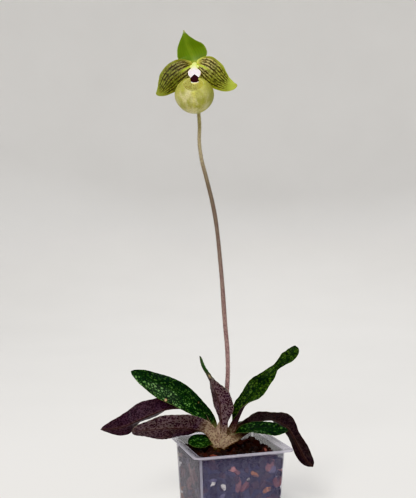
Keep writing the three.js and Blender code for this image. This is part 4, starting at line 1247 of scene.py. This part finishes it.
OVARY = {
    "path": [(-20.5, 2.5, 345.3), (-21.6, 3.2, 358), (-22.8, 1.5, 370)],  # in the plant's frame
    "end": [(0, 9, -2.4), (0, 0.8, 0)],  # in the flower's
    "radius": ((0, 1.75), (0.15, 2.1), (0.5, 2.7), (0.85, 2.7), (1, 3.2)),
    "colours": ((0, "8f9450"), (1, "b3b560")),
    "lay": (2.5, 4),
}
BRACT = {
    "spine": [(-20.6, 4.6, 343), (-21.4, 6.4, 349), (-22, 8.6, 356), (-22.4, 11.4, 363)],  # in the plant's
    "side": (1, 0, 0), "thick": 0.9, "rib": (0.3, 0.1), "tip": 0.03,
    "half": ((0, 3.4), (0.3, 5), (0.6, 4.2), (0.9, 1.8), (1, 0.6)),
    "fold": ((0, 42), (0.5, 30), (1, 20)),
}


def make_tepals():
    looks = [petal("petal_front", 0.97), petal("petal_back", 0.4)]
    for number, (node, form) in enumerate(PETALS.items()):
        more = {key: form[key] for key in ("shade", "clear")}
        blade_piece(node, {**PETAL, **form}, FLOWER, looks, "petal", seed=5 + 11 * number, **more)
    green = [sepal()] * 2
    for node, form, place in (("dorsal_sepal", SEPAL, FLOWER), ("synsepal", SYNSEPAL, LIP)):
        blade_piece(node, {**GREEN_TEPAL, **form}, place, green, "sepal", seed=3)


def pouch_profile():
    """From the pouch's bottom round its lip and back inside: the angle from its mouth's middle in degrees,
    the share of its radius, and how far inside it is, from 0 to 1."""
    inside = 1 - POUCH["wall"] / POUCH["radius"][0]
    brim = POUCH["lip"][0][0] + 4
    lip = Spine([(*p, 0) for p in ((50, 1), *POUCH["lip"], (50, inside))]).at(np.linspace(0, 1, 40))[:, :2]
    outside = np.stack([np.linspace(180, brim, 60, endpoint=False), np.ones(60)], 1)[1:]
    lining = np.stack([np.linspace(brim, 180, 50)[1:-1], np.full(48, inside)], 1)
    within = np.concatenate([np.zeros(59), np.clip((np.arange(40) - 16) / 12, 0, 1), np.ones(48)])
    return (*np.vstack([outside, lip, lining]).T, within)


def pouch_bowl(columns=112):
    """The pouch's shell, as points, faces and attributes."""
    degrees, share, within = (column[:, None] for column in pouch_profile())
    turn = circle(columns)
    pinch = POUCH["mouth_pinch"] * np.cos(turn) ** 2
    polar = np.radians(degrees - pinch * (180 - degrees) / (180 - POUCH["lip"][0][0]))
    ball = (np.sin(polar) * np.cos(turn), np.sin(polar) * np.sin(turn), np.cos(polar))
    tilt = turned("Y", POUCH["mouth_turn"]) @ turned("X", POUCH["mouth_tilt"])
    ball = moved(np.stack(ball, -1), tilt)
    x, y, z = np.moveaxis(ball, -1, 0)
    front = np.clip(-y, 0, 1)
    seam = bell(x, 0.07) * front * np.clip(1.4 - z * 2, 0, 1)
    furrow = bell(np.abs(x) - 0.2, 0.09) * front
    size = share * (1 + 0.006 * seam - 0.008 * furrow + 0.004 * np.cos(9 * np.arctan2(x, -y)))
    wide, deep, low = POUCH["radius"]
    wide = wide * (1 - POUCH["taper"] * np.maximum(0, -z) ** 2)
    radius = np.stack(np.broadcast_arrays(wide, deep, np.where(z > 0, POUCH["crest"], low)), -1)
    points = (POUCH["centre"] + ball * radius * size[..., None]).reshape(-1, 3)
    belly = np.clip(ball @ unit(np.array([-0.15, -0.8, -0.62])), 0, 1)
    inside = np.broadcast_to(within, seam.shape)
    attributes = {"lay": points, "belly": belly.ravel(), "seam": seam.ravel(), "inside": inside.ravel()}
    return points, tube_faces(len(degrees), columns), attributes


def make_pouch():
    points, faces, _, _, attributes = blade(CLAW, *FINENESS["claw"])
    zeros = np.zeros(len(points))
    claw = (points, faces, {"lay": attributes["lay"], "belly": zeros, "seam": zeros, "inside": zeros})
    points, faces, attributes = joined(pouch_bowl(), claw)
    piece("pouch_shell", points, faces, LIP, [pouch_look()], "pouch", **attributes)


def make_column():
    anther, stigma = COLUMN["anther"], COLUMN["stigma"]
    ball, ball_faces = ROUND_BALL
    steps, sides = FINENESS["column"]
    points = tube(Spine(COLUMN["path"]), lambda t, angle: through(COLUMN["radius"], t), steps, sides)[0]
    bodies = [(points.reshape(-1, 3), tube_faces(steps + 1, sides), {})]
    for hand in (-1, 1):
        bodies.append((ball * anther["radius"] + np.multiply(anther["at"], (hand, 1, 1)), ball_faces, {}))
    disc = moved(ball * stigma["radius"], turned("X", stigma["tilt"]))
    bodies.append((disc + stigma["at"], ball_faces, {}))
    points, faces, _ = joined(*bodies)
    piece("column_body", points, faces, LIP, [column_look()], "column")
    blade_piece("staminode", STAMINODE, LIP, [staminode_look()], name="staminode_shield")


def make_ovary():
    to_flower = np.linalg.inv(np.array(FLOWER_IN_PLANT))
    rng = np.random.default_rng(8)

    def radius(t, angle):
        return through(OVARY["radius"], t) * (0.97 + 0.08 * np.cos(6 * angle + 2 * t))

    spine = Spine([*moved(OVARY["path"], to_flower), *OVARY["end"]])
    skin = stalk_look("ovary", OVARY["colours"], 0.5)
    points, outward = stalk("ovary_body", "ovary", spine, radius, FLOWER, skin, *OVARY["lay"])
    pick = rng.integers(0, len(points), HAIRS["ovary"][0])
    hairs("ovary", "ovary", points[pick], outward[pick], rng, FLOWER)
    form = {**BRACT, "spine": moved(BRACT["spine"], to_flower)}
    points, normal = blade_piece("bract", form, FLOWER, [bract_look()])
    pick = rng.integers(0, len(normal), HAIRS["bract"][0])
    under = points[len(normal):]
    hairs("bract", "bract", under[pick], -normal[pick], rng, FLOWER)


# ---- stage

CAMERA = {"at": (-10.5, -755, 200), "lens": 54.5, "sensor": 36}  # at is in the plant's frame
# the rest is in metres
MIDDLE = (0, 0, 0.26)
BOWL = ((1.2, 0), (2, 0), (2.6, 0.12), (3.2, 0.5), (3.6, 1.1), (3.8, 1.9), (3.9, 2.8))  # radius and height
LIGHTS = {  # place, size, watts and tone of square lamps that aim at the middle
    "key": ((-1.35, -1.96, 1.84), 1.1, 74, (1, 0.98, 0.95)),
    "fill": ((2, -1.4, 0.9), 1.4, 12, (0.95, 0.97, 1)),
    "back": ((0.9, 2, 1.9), 1.1, 18, (1, 1, 1)),
}
SKY = ((0.92, 0.94, 1, 1), 0.55)  # colour and strength


def make_stage(sides=96):
    """A pale floor that rises far out into a seamless bowl."""
    points = [(0, 0, 0)]
    for r, z in BOWL:
        points += [(r * math.cos(a), r * math.sin(a), z) for a in circle(sides)]
    faces = [[0, 1 + k, 1 + (k + 1) % sides] for k in range(sides)]
    faces += [face[::-1] for face in grid_faces(len(BOWL), sides, closed=True, start=1)]
    floor = added("floor", mesh_of("floor", np.array(points), faces))
    smooth = floor.modifiers.new("smooth", "SUBSURF")
    smooth.levels = smooth.render_levels = 2
    look = Look("floor", Roughness=0.85)
    floor.data.materials.append(look.finish(mix(noise(look.place(), 3, 2), "e2e0dc", "e8e6e2")))
    floor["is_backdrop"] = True


def make_lights():
    for name, (at, size, watts, tone) in LIGHTS.items():
        light = bpy.data.lights.new(name, "AREA")
        light.shape = "SQUARE"
        light.size = size
        light.energy = watts
        light.color = tone
        lamp = added(name, light)
        lamp.visible_camera = False
        lamp.location = at
        lamp.rotation_euler = (Vector(MIDDLE) - Vector(at)).to_track_quat("-Z", "Y").to_euler()
    world = bpy.data.worlds.new("studio")
    world.use_nodes = True
    for socket, value in zip(world.node_tree.nodes["Background"].inputs, SKY):
        socket.default_value = value
    bpy.context.scene.world = world


def make_camera():
    """Level, in front of the plant, at about half its height."""
    data = bpy.data.cameras.new("camera")
    data.sensor_width = CAMERA["sensor"]
    data.lens = CAMERA["lens"]
    camera = added("camera", data)
    camera.location = moved(CAMERA["at"], PLANT) * MM
    camera.rotation_euler = (math.radians(90), 0, math.radians(PLANT_TURN))
    bpy.context.scene.camera = camera


# ---- build

make_pot()
make_mix()
make_crown()
make_scape()
make_leaves()
make_tepals()
make_pouch()
make_column()
make_ovary()
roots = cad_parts["roots"].data
roots.materials.clear()
roots.materials.append(root_look())
make_stage()
make_lights()
make_camera()
bpy.context.scene.view_settings.view_transform = "Khronos PBR Neutral"

boxes = {"cad": cad_box, "visual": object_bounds()}
{name: [list(corner) for corner in box] for name, box in boxes.items()}
